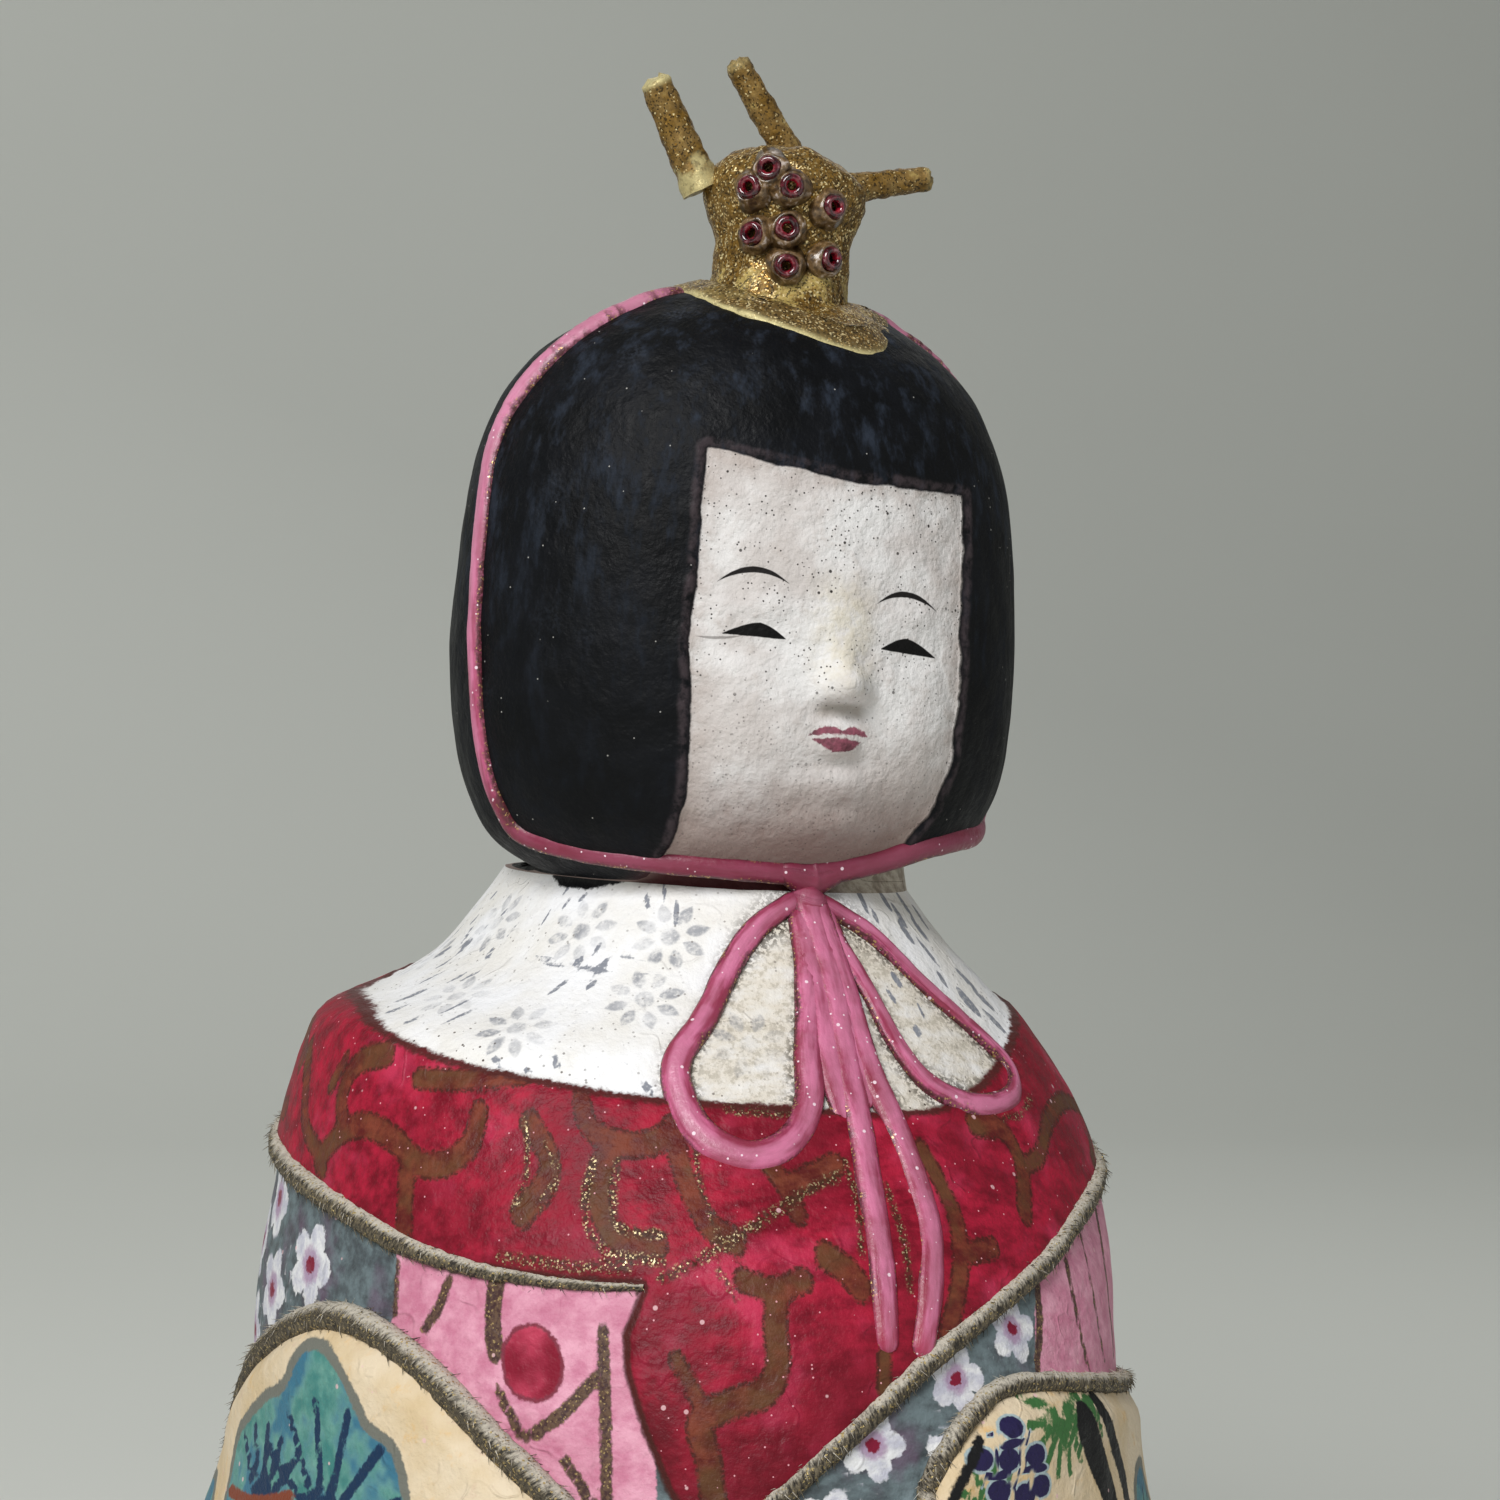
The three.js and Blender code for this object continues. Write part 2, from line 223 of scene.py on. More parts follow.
fine_mounds = [
    (0.6, -7.9, 138.3, 3.2, 1.4), (0.6, 7.1, 137.8, 3.2, 1.4),
    (-0.35, -8.0, 134.4, 3.4, 0.9), (-0.35, 7.2, 134.0, 3.4, 0.9),
    (0.35, -2.1, 130.7, 1.0, 0.9), (0.35, 2.2, 130.8, 1.0, 0.9),
    (-0.4, -0.1, 136.5, 1.4, 3.0), (0.3, -0.1, 136.5, 3.4, 4.0), (0.75, 0.2, 131.3, 2.3, 1.4),
    (-0.85, 0.1, 128.9, 2.6, 0.7), (0.35, -0.1, 127.3, 2.4, 0.6),
    (-0.35, -0.1, 126.5, 2.8, 0.3), (0.4, -0.2, 125.7, 1.9, 0.6),
    (-0.45, -0.2, 124.2, 2.8, 0.7), (0.5, 0.2, 122.4, 3.4, 1.3), (-0.35, 0.6, 120.0, 4.0, 0.8),
]


def mound_relief(across, height, mounds):
    """The sum of soft mounds and hollows on the face, in mm."""
    total = np.zeros(np.shape(across))
    for out, at_x, at_z, half_x, half_z in mounds:
        reach = ((across - at_x) / half_x) ** 2 + ((height - at_z) / half_z) ** 2
        total = total + out * np.exp(-reach)
    return total


def lean(points):
    """Turns head points about the neck, so that the top leans to the doll's right."""
    across = points[..., 0]
    rise = points[..., 2] - neck_height
    return np.stack(
        [
            across * math.cos(head_lean) - rise * math.sin(head_lean),
            points[..., 1],
            neck_height + across * math.sin(head_lean) + rise * math.cos(head_lean),
        ],
        -1,
    )


def head_point(turn, height):
    """The head's surface in mm, before any fine carving."""
    turn, height = np.broadcast_arrays(np.asarray(turn, float), np.asarray(height, float))
    half = smooth_row(head_sections, height)[..., 0]
    sine, cosine = np.sin(np.radians(turn)), np.cos(np.radians(turn))
    across = half * sine
    front = np.where(cosine > 0, mound_relief(across, height, face_mounds), 0)
    along = head_middle[1] - (head_depth * half + front) * cosine
    return lean(np.stack([head_middle[0] + across, along, height], -1))


print("nose tip:", head_point(0, 131.6).round(1).tolist())

# %% [markdown]
# ## Drawing on the skin
# A brush line or a patch of colour is kept as a distance field: each point of
# the skin stores how far, in mm, it lies inside the line. A material then
# turns that distance into a crisp, slightly wobbly edge.
# For this the cloak is unrolled flat, with one degree of turn as 0.85 mm.

# %% Distances to lines and patches
flat_scale = 0.85
far_outside = -60.0


def flat(points):
    """Turn and height pairs as flat places in mm."""
    points = np.asarray(points, float)
    return np.stack([points[..., 0] * flat_scale, points[..., 1]], -1)


def line_distance(line, places):
    """The distance from each flat place to a line through several points."""
    nearest = np.full(len(places), 1e9)
    for start, end in zip(line[:-1], line[1:]):
        run = end - start
        part = np.clip((places - start) @ run / max(run @ run, 1e-9), 0, 1)
        gap = places - start - part[:, None] * run
        nearest = np.minimum(nearest, np.hypot(gap[:, 0], gap[:, 1]))
    return nearest


def inside_patch(outline, places):
    """How far each flat place lies inside a closed patch; outside is negative."""
    closed = np.vstack([outline, outline[:1]])
    within = np.zeros(len(places), bool)
    for start, end in zip(closed[:-1], closed[1:]):
        crosses = (start[1] > places[:, 1]) != (end[1] > places[:, 1])
        rise = end[1] - start[1] if end[1] != start[1] else 1e-9
        at = start[0] + (places[:, 1] - start[1]) * (end[0] - start[0]) / rise
        within ^= crosses & (places[:, 0] < at)
    return np.where(within, 1, -1) * line_distance(closed, places)


def inside_any(outlines, places):
    """How far each flat place lies inside the nearest of several outlines of turns and heights."""
    return np.max([inside_patch(flat(outline), places) for outline in outlines], axis=0)


def rounded(points, steps=6):
    """A brush path eased through its points, so that it has no corners."""
    points = np.asarray(points, float)
    if len(points) < 3:
        return points
    order = np.arange(len(points), dtype=float)
    table = np.column_stack([order, points])
    return smooth_row(table, np.linspace(0, len(points) - 1, (len(points) - 1) * steps + 1))


def stroke_field(strokes, places):
    """How far each place lies inside the nearest stroke; a stroke is its width and points."""
    field = np.full(len(places), far_outside)
    for width, points in strokes:
        field = np.maximum(field, width / 2 - line_distance(flat(rounded(points)), places))
    return field


# %% [markdown]
# ## The painted areas of the cloak
# A white scarf covers the shoulders down to a border. Below it lies a crimson
# collar that crosses over at the front like a lapel. Under the collar come
# pink and slate panels, and the two sleeves carry a landscape.

# %% The cord over the hair and its bow
hair_cord = [
    (-60, 168.4), (-71, 166.4), (-79, 161.4), (-86, 155), (-84.5, 146), (-83.5, 136), (-81.5, 126),
    (-80.5, 119.5), (-77, 116.6), (-62, 115.3), (-40, 114.6), (-18, 114.1), (0, 113.9), (14, 114.7),
    (28, 116.2), (41, 117), (63, 117.6), (77, 118.5), (80.5, 121), (81.5, 127), (83.5, 137),
    (84.5, 147), (86, 155), (79, 161.4), (71, 166.4), (60, 168.4),
]
bow_left_loop = [
    (-1, 111.6), (-14, 108.5), (-21, 104.3), (-23, 99.7), (-24, 95.1), (-21.5, 91.1), (-16, 89.4),
    (-10, 90.7), (-6, 94.5), (-4.5, 101), (-1.5, 109),
]
bow_right_loop = [
    (3, 111.6), (17.5, 108.3), (25, 103.9), (30.5, 100.3), (35, 96.8), (31.5, 94), (22, 93.4),
    (14.5, 95.3), (11, 98.7), (9, 104.3), (4, 110),
]
bow_tails = [
    [(1, 112), (1.5, 104.3), (0.5, 97.5), (0, 90.9), (-1, 84.5), (-2, 79), (-2.5, 74.1)],
    [(3, 112), (4, 104.3), (4, 97.5), (6, 90.9), (6.5, 84.5), (4.5, 79.1), (1.8, 73.6)],
]
bow_middle = [
    [(-1.5, 110.5), (-1.8, 104), (-2, 98), (-1.8, 92)],
    [(4.8, 110.5), (6.4, 107), (7, 104)],
    [(2.4, 110.5), (2.7, 104), (2.5, 98), (2.6, 93.5)],
]

# %% Borders of the scarf, collar and panels
scarf_border = [
    (-180, 104), (-140, 102.5), (-117, 99.5), (-88.5, 98.7), (-68, 96.7), (-56, 95.5),
    (-43, 94.7), (-29, 93.9), (-15.5, 93.7), (-3.5, 93.3), (7.5, 93.1), (17, 93.7),
    (28, 95.9), (47, 99.3), (63.5, 101.1), (100, 102.5), (140, 103.8), (180, 104),
]
collar_left = [
    (-260, 86.5), (-180, 87), (-140, 86.5), (-100, 83.9), (-76, 81.5), (-64, 79.7),
    (-53, 78.6), (-41, 78.4), (-31, 78.7),
]
lapel_edge = [(-33.5, 74.9), (-33.4, 72), (-31.5, 67.5), (-28.5, 62.3), (-24, 57.5)]
collar_right = [
    (-14, 63.9), (-6, 68.7), (3, 73.3), (13.5, 77.1), (25, 80.1), (38, 83.3),
    (60, 85.9), (100, 87), (140, 87), (180, 87), (260, 86.5),
]
collar_top = [(260, 160), (-260, 160)]
slate_patches = [
    [(-230, 120), (-63.5, 120), (-64, 74.7), (-66, 50), (-70, 0), (-150, 0), (-146, 90)],
    [(-30, 46), (-30, 120), (23, 120), (23, 78.1), (20, 71.5), (18, 60), (-2, 46)],
    [(96, 0), (98, 120), (146, 120), (150, 0)],
]

# %% Brush strokes on the collar
scroll_strokes = [
    (1.9, [(-95.5, 94.3), (-91, 91), (-87.5, 87.6), (-81.5, 85.3), (-80, 84.1)]),
    (2.4, [(-69.5, 95.3), (-76, 94), (-78, 91.1), (-76.5, 88.7)]),
    (1.8, [(-80, 94.1), (-81.5, 91.7)]),
    (2.3, [(-81.5, 84.8), (-76.5, 87.7), (-71, 88.9), (-65, 88.1), (-60.5, 86.5), (-56, 86.9),
        (-52.5, 88.7), (-51.5, 91.3)]),
    (2.3, [(-62.5, 85.3), (-62.5, 82.9), (-62.5, 80.6)]),
    (1.9, [(-62.5, 93.6), (-56.5, 93.8), (-51, 94.3), (-45, 94.9)]),
    (2.4, [(-44, 90.9), (-41.5, 88.5), (-41.8, 86.3), (-45.5, 83.5)]),
    (2.1, [(-37, 93.2), (-36, 91.1), (-33, 89.9), (-29, 89.9), (-26, 90.6)]),
    (2.4, [(-33.5, 89.4), (-35.2, 86.3), (-35, 83.7), (-33, 82), (-29, 82)]),
    (2.3, [(-25, 91.3), (-24.5, 88.1), (-23.4, 85.4), (-22, 83.6), (-19.5, 82.6)]),
    (2.0, [(-13.5, 88.8), (-12, 87.1), (-11, 85)]), (1.9, [(-11.5, 87), (-8, 87.9), (-4.5, 88.8)]),
    (2.0, [(-19.2, 79.6), (-15.5, 79), (-12, 79.8)]),
    (2.4, [(-15.5, 78.5), (-16, 76.1), (-16, 73.1), (-17.5, 71), (-21.5, 69.9), (-25, 68.3),
        (-24.2, 65.5), (-23.5, 62)]),
    (2.5, [(-8.6, 81.6), (-6.2, 80.4), (-5, 79.3)]),
    (2.0, [(8.5, 89.7), (10, 87), (10.6, 83.9), (9, 79.9), (6, 75.5)]),
    (1.7, [(11, 81.5), (15.5, 81.8)]), (1.5, [(-3, 73.9), (-3.5, 71.3)]),
    (1.5, [(-27.5, 73.2), (-26, 71.3), (-25, 69.8)]),
    (2.2, [(19.5, 91.8), (25, 91), (26.2, 88), (23.5, 84.3)]),
    (1.6, [(27, 88), (31.5, 88.7), (38, 91.3), (50, 92.5), (62, 90), (52, 86.9)]),
    (2.2, [(-97, 92.5), (-104, 95.6), (-110, 92), (-106, 87.6), (-99, 88)]),
    (2.2, [(-118, 98), (-122, 93.5), (-118, 89.4), (-112, 90.2)]),
    (2.2, [(72, 95.5), (79, 93.5), (80, 89.5), (73, 88.6), (69, 91.5)]),
    (2.2, [(92, 98), (97, 94.5), (94, 90.3), (86, 90)]),
    (2.2, [(112, 99), (108, 94.5), (113, 91), (120, 92.5)]),
    (2.2, [(134, 99), (129, 95.5), (133, 91), (140, 92)]),
    (2.2, [(157, 99.5), (151, 96), (154, 91.5), (162, 92)]),
    (2.2, [(178, 99.5), (171, 96.5), (174, 92), (181, 91.8)]),
    (2.2, [(-134, 98.5), (-129, 94.5), (-133, 90.5), (-140, 92)]),
    (2.2, [(-157, 99.5), (-151, 96), (-154, 91.5), (-162, 91.8)]),
]
glitter_strokes = [
    (0.9, [(-48.5, 79.8), (-42.5, 79.8), (-37, 79.8), (-32.5, 80)]),
    (0.8, [(-29, 79.3), (-25, 80.7), (-21.5, 82.1), (-17.5, 83.6), (-13, 85.3), (-9, 86.7),
        (-4.6, 87.9)]),
    (0.9, [(-35.5, 88.3), (-37, 85.3), (-37, 83.1), (-35.5, 81.3), (-32.5, 80.8), (-28.5, 80.9)]),
    (0.8, [(-32.5, 88.3), (-33.5, 85.5), (-33.4, 83.3), (-31.5, 82.9), (-28, 82.9)]),
    (0.6, [(-44.6, 91.2), (-44.4, 87.7), (-45, 85.7), (-46.6, 83.8)]),
    (0.6, [(-42, 89.3), (-40.4, 86.9), (-43, 84.3)]),
    (0.6, [(-22.5, 90), (-22.4, 87.5), (-22, 85.1), (-21.3, 82.9)]),
    (0.7, [(-3, 89), (-3, 85.1), (-4, 82)]), (1.1, [(-17.5, 93.2), (-13, 93), (-8.8, 93)]),
    (0.6, [(-22, 80.4), (-20.3, 78.2)]), (0.5, [(26, 92), (31, 92.2), (36, 93.5)]),
    (0.7, [(1.6, 87), (2, 83), (1.5, 79)]),
]
print(len(scroll_strokes), "scroll strokes and", len(glitter_strokes), "glitter strokes")

# %% Brush strokes on the panels
wine_lines = [
    (1.2, [(-64, 77.9), (-64, 73.5)]), (1.1, [(-55.8, 77.5), (-57, 75), (-59, 72.8)]),
    (1.9, [(-49.2, 78), (-49.6, 75), (-49, 72)]), (1.2, [(-36, 75.1), (-35.8, 68), (-35.5, 60)]),
    (1.2, [(-37, 71), (-40.5, 68), (-44, 65.8)]),
    (1.1, [(-48.5, 69), (-47.2, 67.2), (-45.5, 65.3)]),
    (1.1, [(-40.5, 64), (-38, 61.5), (-36, 58)]), (1.0, [(-26.5, 58), (-24, 53), (-23, 46)]),
    (1.1, [(-12, 50), (-14, 42), (-13, 34)]), (1.0, [(-22, 42), (-17, 38), (-13.5, 36.5)]),
    (1.2, [(23.4, 78.6), (22.6, 75), (20, 71)]), (0.8, [(31, 80), (32, 75), (34, 70.5)]),
    (0.7, [(38, 82), (38.5, 77), (41, 70)]), (0.9, [(48, 83), (47.5, 77), (50, 69.5)]),
    (0.9, [(60, 84), (58, 78), (61, 68)]), (1.1, [(74, 84.5), (72, 76), (76, 66)]),
    (1.1, [(88, 85), (86, 76), (89, 62)]), (1.1, [(-152, 85), (-154, 70), (-151, 50)]),
    (1.1, [(-166, 84), (-163, 66), (-166, 44)]), (1.1, [(180, 84), (177, 66), (180, 44)]),
    (1.1, [(166, 84), (163, 66), (166, 44)]),
]
red_dots = [(-44.5, 71.6, 2.95), (-14, 44, 2.6), (66, 76, 3.2), (172, 74, 3.4), (-158, 60, 3.2)]
blossom_places = [
    (-81.5, 75.3), (-93, 71.5), (-97, 79.5), (-107, 74.5), (-104, 66), (-118, 70), (-129, 76), (-122, 58),
    (-134, 64), (-131, 48), (-140, 38), (17, 75.3), (7, 71.8), (-5, 66.8), (-10.5, 60.3), (5, 65.7),
    (108, 76), (122, 70), (136, 78), (118, 60), (138, 58), (128, 46), (141, 40),
]

# %% [markdown]
# ## The landscape on the sleeves
# Each sleeve has a cream ground with clumps of pine, drawn as rounded green
# hills with dark needles that fan out from their foot, earth-coloured ground
# lines, and on the other sleeve a bunch of wisteria among green needles.
# Fans of needles repeat, so they are made by one small function.

# %% Pines, wisteria and ground lines
def needle_fans(fans, width):
    """Straight needles in fans, each with a root, a length, two slopes in degrees and a count."""
    needles = []
    for root, length, low, high, count in fans:
        for slope in np.linspace(low, high, count):
            across = length * math.cos(math.radians(slope)) / flat_scale
            rise = length * math.sin(math.radians(slope))
            start = (root[0] + across * 0.2, root[1] + rise * 0.2)
            needles.append((width, [start, (root[0] + across, root[1] + rise)]))
    return needles


def clump(middle, half_width, height):
    """A rounded hill of pine with three humps along its top."""
    humps = [
        (-1, 0.05), (-0.86, 0.42), (-0.5, 0.62), (-0.32, 0.92), (0.02, 1.02), (0.3, 0.84),
        (0.52, 0.6), (0.84, 0.46), (1, 0.08), (0.5, -0.06), (-0.5, -0.06),
    ]
    return [(middle[0] + half_width * x / flat_scale, middle[1] + height * z) for x, z in humps]


large_clump = [
    (-93, 50), (-92, 57), (-88, 60), (-84, 62.5), (-79, 64.5), (-76, 68.3), (-72, 69), (-67.5, 66.5),
    (-64.5, 63.6), (-60.5, 62.2), (-58.5, 57), (-61, 52), (-75, 51),
]
small_clumps = [
    # foot, half width, height, length of its needles
    ((-50, 47), 7.5, 10, 8), ((-104, 40), 10, 11, 9), ((-70, 34), 11, 11, 9), ((46, 50), 8, 10, 8.5),
    ((72, 44), 9, 11, 9), ((96, 34), 9, 10, 8), ((26, 40), 8, 9, 7.5), ((-28, 33), 8, 10, 8),
]
low_clump = ((58, 27), 8, 8)
pine_clumps = [large_clump] + [clump(*place[:3]) for place in small_clumps] + [clump(*low_clump)]
pine_needles = (
    needle_fans([((-70, 54), 11, 25, 155, 6)], 1.0) + needle_fans([((-83, 52), 8.5, 50, 130, 5)], 0.95)
    + needle_fans([(foot, length, 25, 155, 7) for foot, _, _, length in small_clumps], 0.7)
    + needle_fans([(low_clump[0], 6.5, 25, 155, 6)], 0.7)
)
green_fans = [
    ((21.5, 68.6), 5.5, 165, 350, 9), ((27.5, 69.5), 4.5, 190, 330, 6),
    ((9, 60.5), 5, 60, 200, 6), ((18, 57), 5, 200, 340, 6),
]
green_needles = needle_fans(green_fans, 0.8)
ground_lines = [
    (1.2, [(-92, 52.6), (-84, 53.4), (-76, 55.6)]), (1.2, [(-64, 48), (-56, 46.2), (-47, 46)]),
    (1.3, [(-118, 36), (-104, 38.4), (-88, 36)]), (1.3, [(-90, 31), (-70, 33), (-50, 30.5)]),
    (1.3, [(36, 48), (47, 49.6), (60, 47)]), (1.3, [(62, 41.5), (74, 43), (90, 38.5)]),
    (1.2, [(16, 37.5), (27, 39.4), (38, 37)]),
]
dark_bands = [
    (3.4, [(26.2, 67.2), (29, 63.6), (32.5, 59), (33, 54)]),
    (1.9, [(30.5, 68.5), (34, 64.5), (37.5, 60.5), (38.5, 55)]),
    (1.0, [(1.6, 60), (4.5, 63.8), (8, 67)]),
]
scarf_dabs = [
    # turn, height, length, width, slope
    (20.5, 111.6, 3.2, 1.7, 80), (22.5, 109.9, 1.6, 1.4, 0), (31, 111.3, 2.4, 2.0, -50),
    (34, 110, 2.6, 2.0, -60), (32, 108.4, 2.4, 2.2, -60), (42, 111, 2.6, 2.2, -60),
    (41, 108.6, 2.6, 2.2, -60), (49, 109.6, 2.6, 2.2, -60), (34, 104.2, 1.6, 1.6, 0),
    (38, 102.1, 2.8, 2.8, 70), (46, 104, 3.4, 1.6, -35), (46, 102, 3.4, 1.6, -40),
    (42.5, 100.2, 3.2, 1.6, -45), (36, 106.6, 3.2, 1.4, -70), (18.5, 104.3, 1.9, 1.4, -50),
    (15, 102.9, 1.7, 1.0, -50), (17, 99.9, 1.5, 1.2, 10), (20.5, 101.6, 2.2, 0.6, 75),
    (-41.5, 110.4, 2.4, 1.0, -40), (-37.5, 111.4, 2.6, 0.9, -60), (-33.5, 109.5, 2.6, 1.3, -70),
    (-100, 103.5, 3, 1.2, 20), (-92, 104.6, 2.6, 1.3, -20), (-60, 104.3, 9, 0.7, -2),
    (-48, 103.9, 8, 0.6, -3), (-64, 109.6, 2, 0.8, 60), (-60, 110.3, 2, 0.8, 20),
    (-68, 108.2, 2, 0.8, 80), (-66, 111, 2, 0.8, 40), (-80, 102, 1.8, 0.8, 40),
    (-83, 100.4, 1.8, 0.8, -20), (-50, 95.9, 2.2, 0.8, -30), (-28, 94.6, 2, 0.9, -40),
    (-96, 105.5, 4.2, 0.9, -38), (-79, 104.3, 2.6, 0.9, -20), (-110, 107.6, 1.8, 0.8, 60),
    (-106, 105.4, 1.8, 0.7, 75), (-100, 106.7, 1.8, 0.7, 60), (-100, 109.3, 1.5, 0.7, 40),
    (-86, 108.1, 1.5, 0.8, 20), (-77, 106.7, 1.8, 0.8, 70), (-90, 106.1, 1.6, 0.8, 60),
    (-80, 98.9, 2, 0.8, 15), (-84, 99.9, 2.2, 0.8, 35), (-88, 101.5, 2, 0.8, 45),
    (-92, 102.7, 1.8, 0.8, 45), (-71, 98.3, 1.8, 0.8, 10), (-77, 102.3, 1.8, 0.9, 60),
    (-68, 99.9, 1.8, 0.9, 80), (-64, 99.2, 1.8, 0.9, 60), (-53, 104.6, 1.9, 0.9, 10),
    (-47, 102.7, 1.9, 0.9, -30), (-53, 102.3, 1.9, 0.9, 50), (-47, 104.6, 1.9, 0.9, 35),
    (-50, 105.9, 1.9, 0.9, 80), (-43, 105.5, 3.5, 0.6, -3), (-41, 96.3, 1.9, 0.9, -50),
    (-45, 95.3, 1.5, 0.8, -30),
]
grape_places = [
    (7.5, 65.7), (12.5, 68), (11.6, 65.4), (16, 65.4), (10, 62.9), (14, 62.3), (13.2, 59.6), (9.6, 60.2),
    (17, 59.8), (12, 57), (15.6, 57.2), (13.4, 54.4), (16.8, 62.8), (8.6, 57.8),
]
print(len(pine_clumps), "pine clumps,", len(pine_needles) + len(green_needles), "needles")

# %% [markdown]
# ## Florets
# The scarf is scattered with pale grey florets of short dabs, and the slate
# panels with small blossoms. Each skin point stores where it lies within its
# nearest flower, across and up, with a third number that says it is near one.
# The petals are then worked out exactly in the material.

# %% Places within the nearest flower
no_dab = -20.0
floret_places = [
    (-51, 98.7), (-34, 107.4), (-35, 101.9), (-72, 100.6), (-56, 107.2), (-86, 107), (-14, 98.6),
    (-105, 102.6), (-126, 108.5), (-145, 105), (-166, 109.5), (176, 106), (155, 109), (135, 105.5),
    (113, 109), (92, 106), (72, 109.5), (62, 104),
]


def dab_field(dabs, places):
    """How far each flat place lies inside the nearest oval dab."""
    field = np.full(len(places), no_dab)
    for turn, height, length, width, slope in dabs:
        offset = places - flat([(turn, height)])
        angle = math.radians(slope)
        along = offset[:, 0] * math.cos(angle) + offset[:, 1] * math.sin(angle)
        across = offset[:, 1] * math.cos(angle) - offset[:, 0] * math.sin(angle)
        reach = np.hypot(along / (length / 2), across / (width / 2))
        field = np.maximum(field, (1 - reach) * width / 2)
    return field


def unit(vectors):
    """The same directions with a length of 1."""
    return vectors / np.maximum(np.linalg.norm(vectors, axis=-1, keepdims=True), 1e-9)


def flower_places(skin, centres, surface, reach, clear=2.4):
    """Across, up and nearness within the closest flower, for every skin point."""
    best = np.full(len(skin), 1e9)
    second = best.copy()
    local = np.zeros((len(skin), 3))
    for turn, height in centres:
        middle = surface(turn, height)
        across = surface(turn + 0.5, height) - surface(turn - 0.5, height)
        upward = surface(turn, height + 0.3) - surface(turn, height - 0.3)
        across = unit(across)
        upward = unit(upward - across * (upward @ across))
        offset = skin - middle
        gap = np.linalg.norm(offset, axis=1)
        closer = gap < best
        second = np.where(closer, best, np.minimum(second, gap))
        best = np.where(closer, gap, best)
        local[closer, 0] = (offset @ across)[closer]
        local[closer, 1] = (offset @ upward)[closer]
    local[:, 2] = np.clip(np.minimum(reach + 1 - best, (second - best) / clear), 0, 1)
    return local


# %% [markdown]
# ## Wrapping the skin
# The skin is a grid of rows and columns, finer at the front where the paint is
# finest. Rows are spread evenly along the profile, so that the crown of the
# head gets as many as the chest. The hair and the collar are built up a little
# by their paint, and the whole shell has the soft dents of hand-laid paper.

# %% Rows and columns of the skin
skin_columns = 360
front_density = 0.38


def column_turns(count, density):
    """Turns in degrees, from -180, closer together at the front."""
    even = np.linspace(-math.pi, math.pi, count, endpoint=False)
    return np.degrees(even - density * np.sin(even))


def even_rows(sections, column, count):
    """Heights spread evenly along the profile of a table of sections."""
    table = np.asarray(sections, float)
    fine = np.linspace(table[0, 0], table[-1, 0], 3000)
    reach = smooth_row(sections, fine)[:, column]
    steps = np.hypot(np.diff(fine), np.diff(reach))
    run = np.concatenate([[0], np.cumsum(steps)])
    return np.interp(np.linspace(0, run[-1], count), run, fine)


turns = column_turns(skin_columns, front_density)
robe_rows = even_rows(robe_sections, 2, 150)
head_rows = even_rows(head_sections, 0, 112)[:-1]
print("rows:", len(robe_rows), "on the cloak and", len(head_rows), "on the head")

# %% The face's outline and the built-up paint
face_outline = [
    (-12.4, 152.6), (-6.6, 151.2), (0.2, 150.2), (7.1, 149.8), (14.4, 149.8), (14.1, 145),
    (13.7, 140), (13.6, 132.4), (13.0, 123.8), (11.9, 120.5), (10.2, 118.2), (8, 115), (7, 110),
    (-14, 110), (-13.4, 116.8), (-13.3, 120.4), (-13.7, 128), (-14.1, 135), (-13.4, 142),
    (-13, 147.8),
]
hair_thickness = 0.45
collar_thickness = 0.5
tuck_depth = 2.0
tuck_top = 116.4
tuck_turns = (12, 130)
paper_dents = [(0.22, 9.0, 1), (0.10, 3.2, 2)]
behind_face = -20.0
head_filler = {"scarf": far_outside + 100, "floret": 0, "blossom": 0, "grape": 0}


def face_field(across, height, cosine):
    """How far a head point lies inside the face, in mm."""
    places = np.stack([across, height], -1)
    field = inside_patch(np.asarray(face_outline, float), places)
    return np.where(cosine > 0, field, behind_face)


def dents(points, size, seed):
    """Soft random dents, between about -1 and 1, that repeat for the same seed."""
    shift = Vector((seed * 17.3, seed * 5.1, seed * 9.7))
    return np.array([noise.noise(Vector(p) / size + shift) for p in points])


def outward(points, grid_shape):
    """Unit directions out of a grid of surface points."""
    grid = points.reshape(*grid_shape, 3)
    along = np.roll(grid, -1, axis=1) - np.roll(grid, 1, axis=1)
    rising = np.gradient(grid, axis=0)
    return unit(np.cross(along, rising)).reshape(-1, 3)


# %% Fields stored on the skin
below_table = -40
smear_patch = [(-82, 116), (-77, 112.4), (-69, 111), (-60, 111), (-52, 111.6), (-45, 112.8), (-38, 116)]
bow_gap = [(8, 103), (5.5, 97), (6, 92.5), (21, 92.5), (13.5, 95.5), (10, 99.5)]


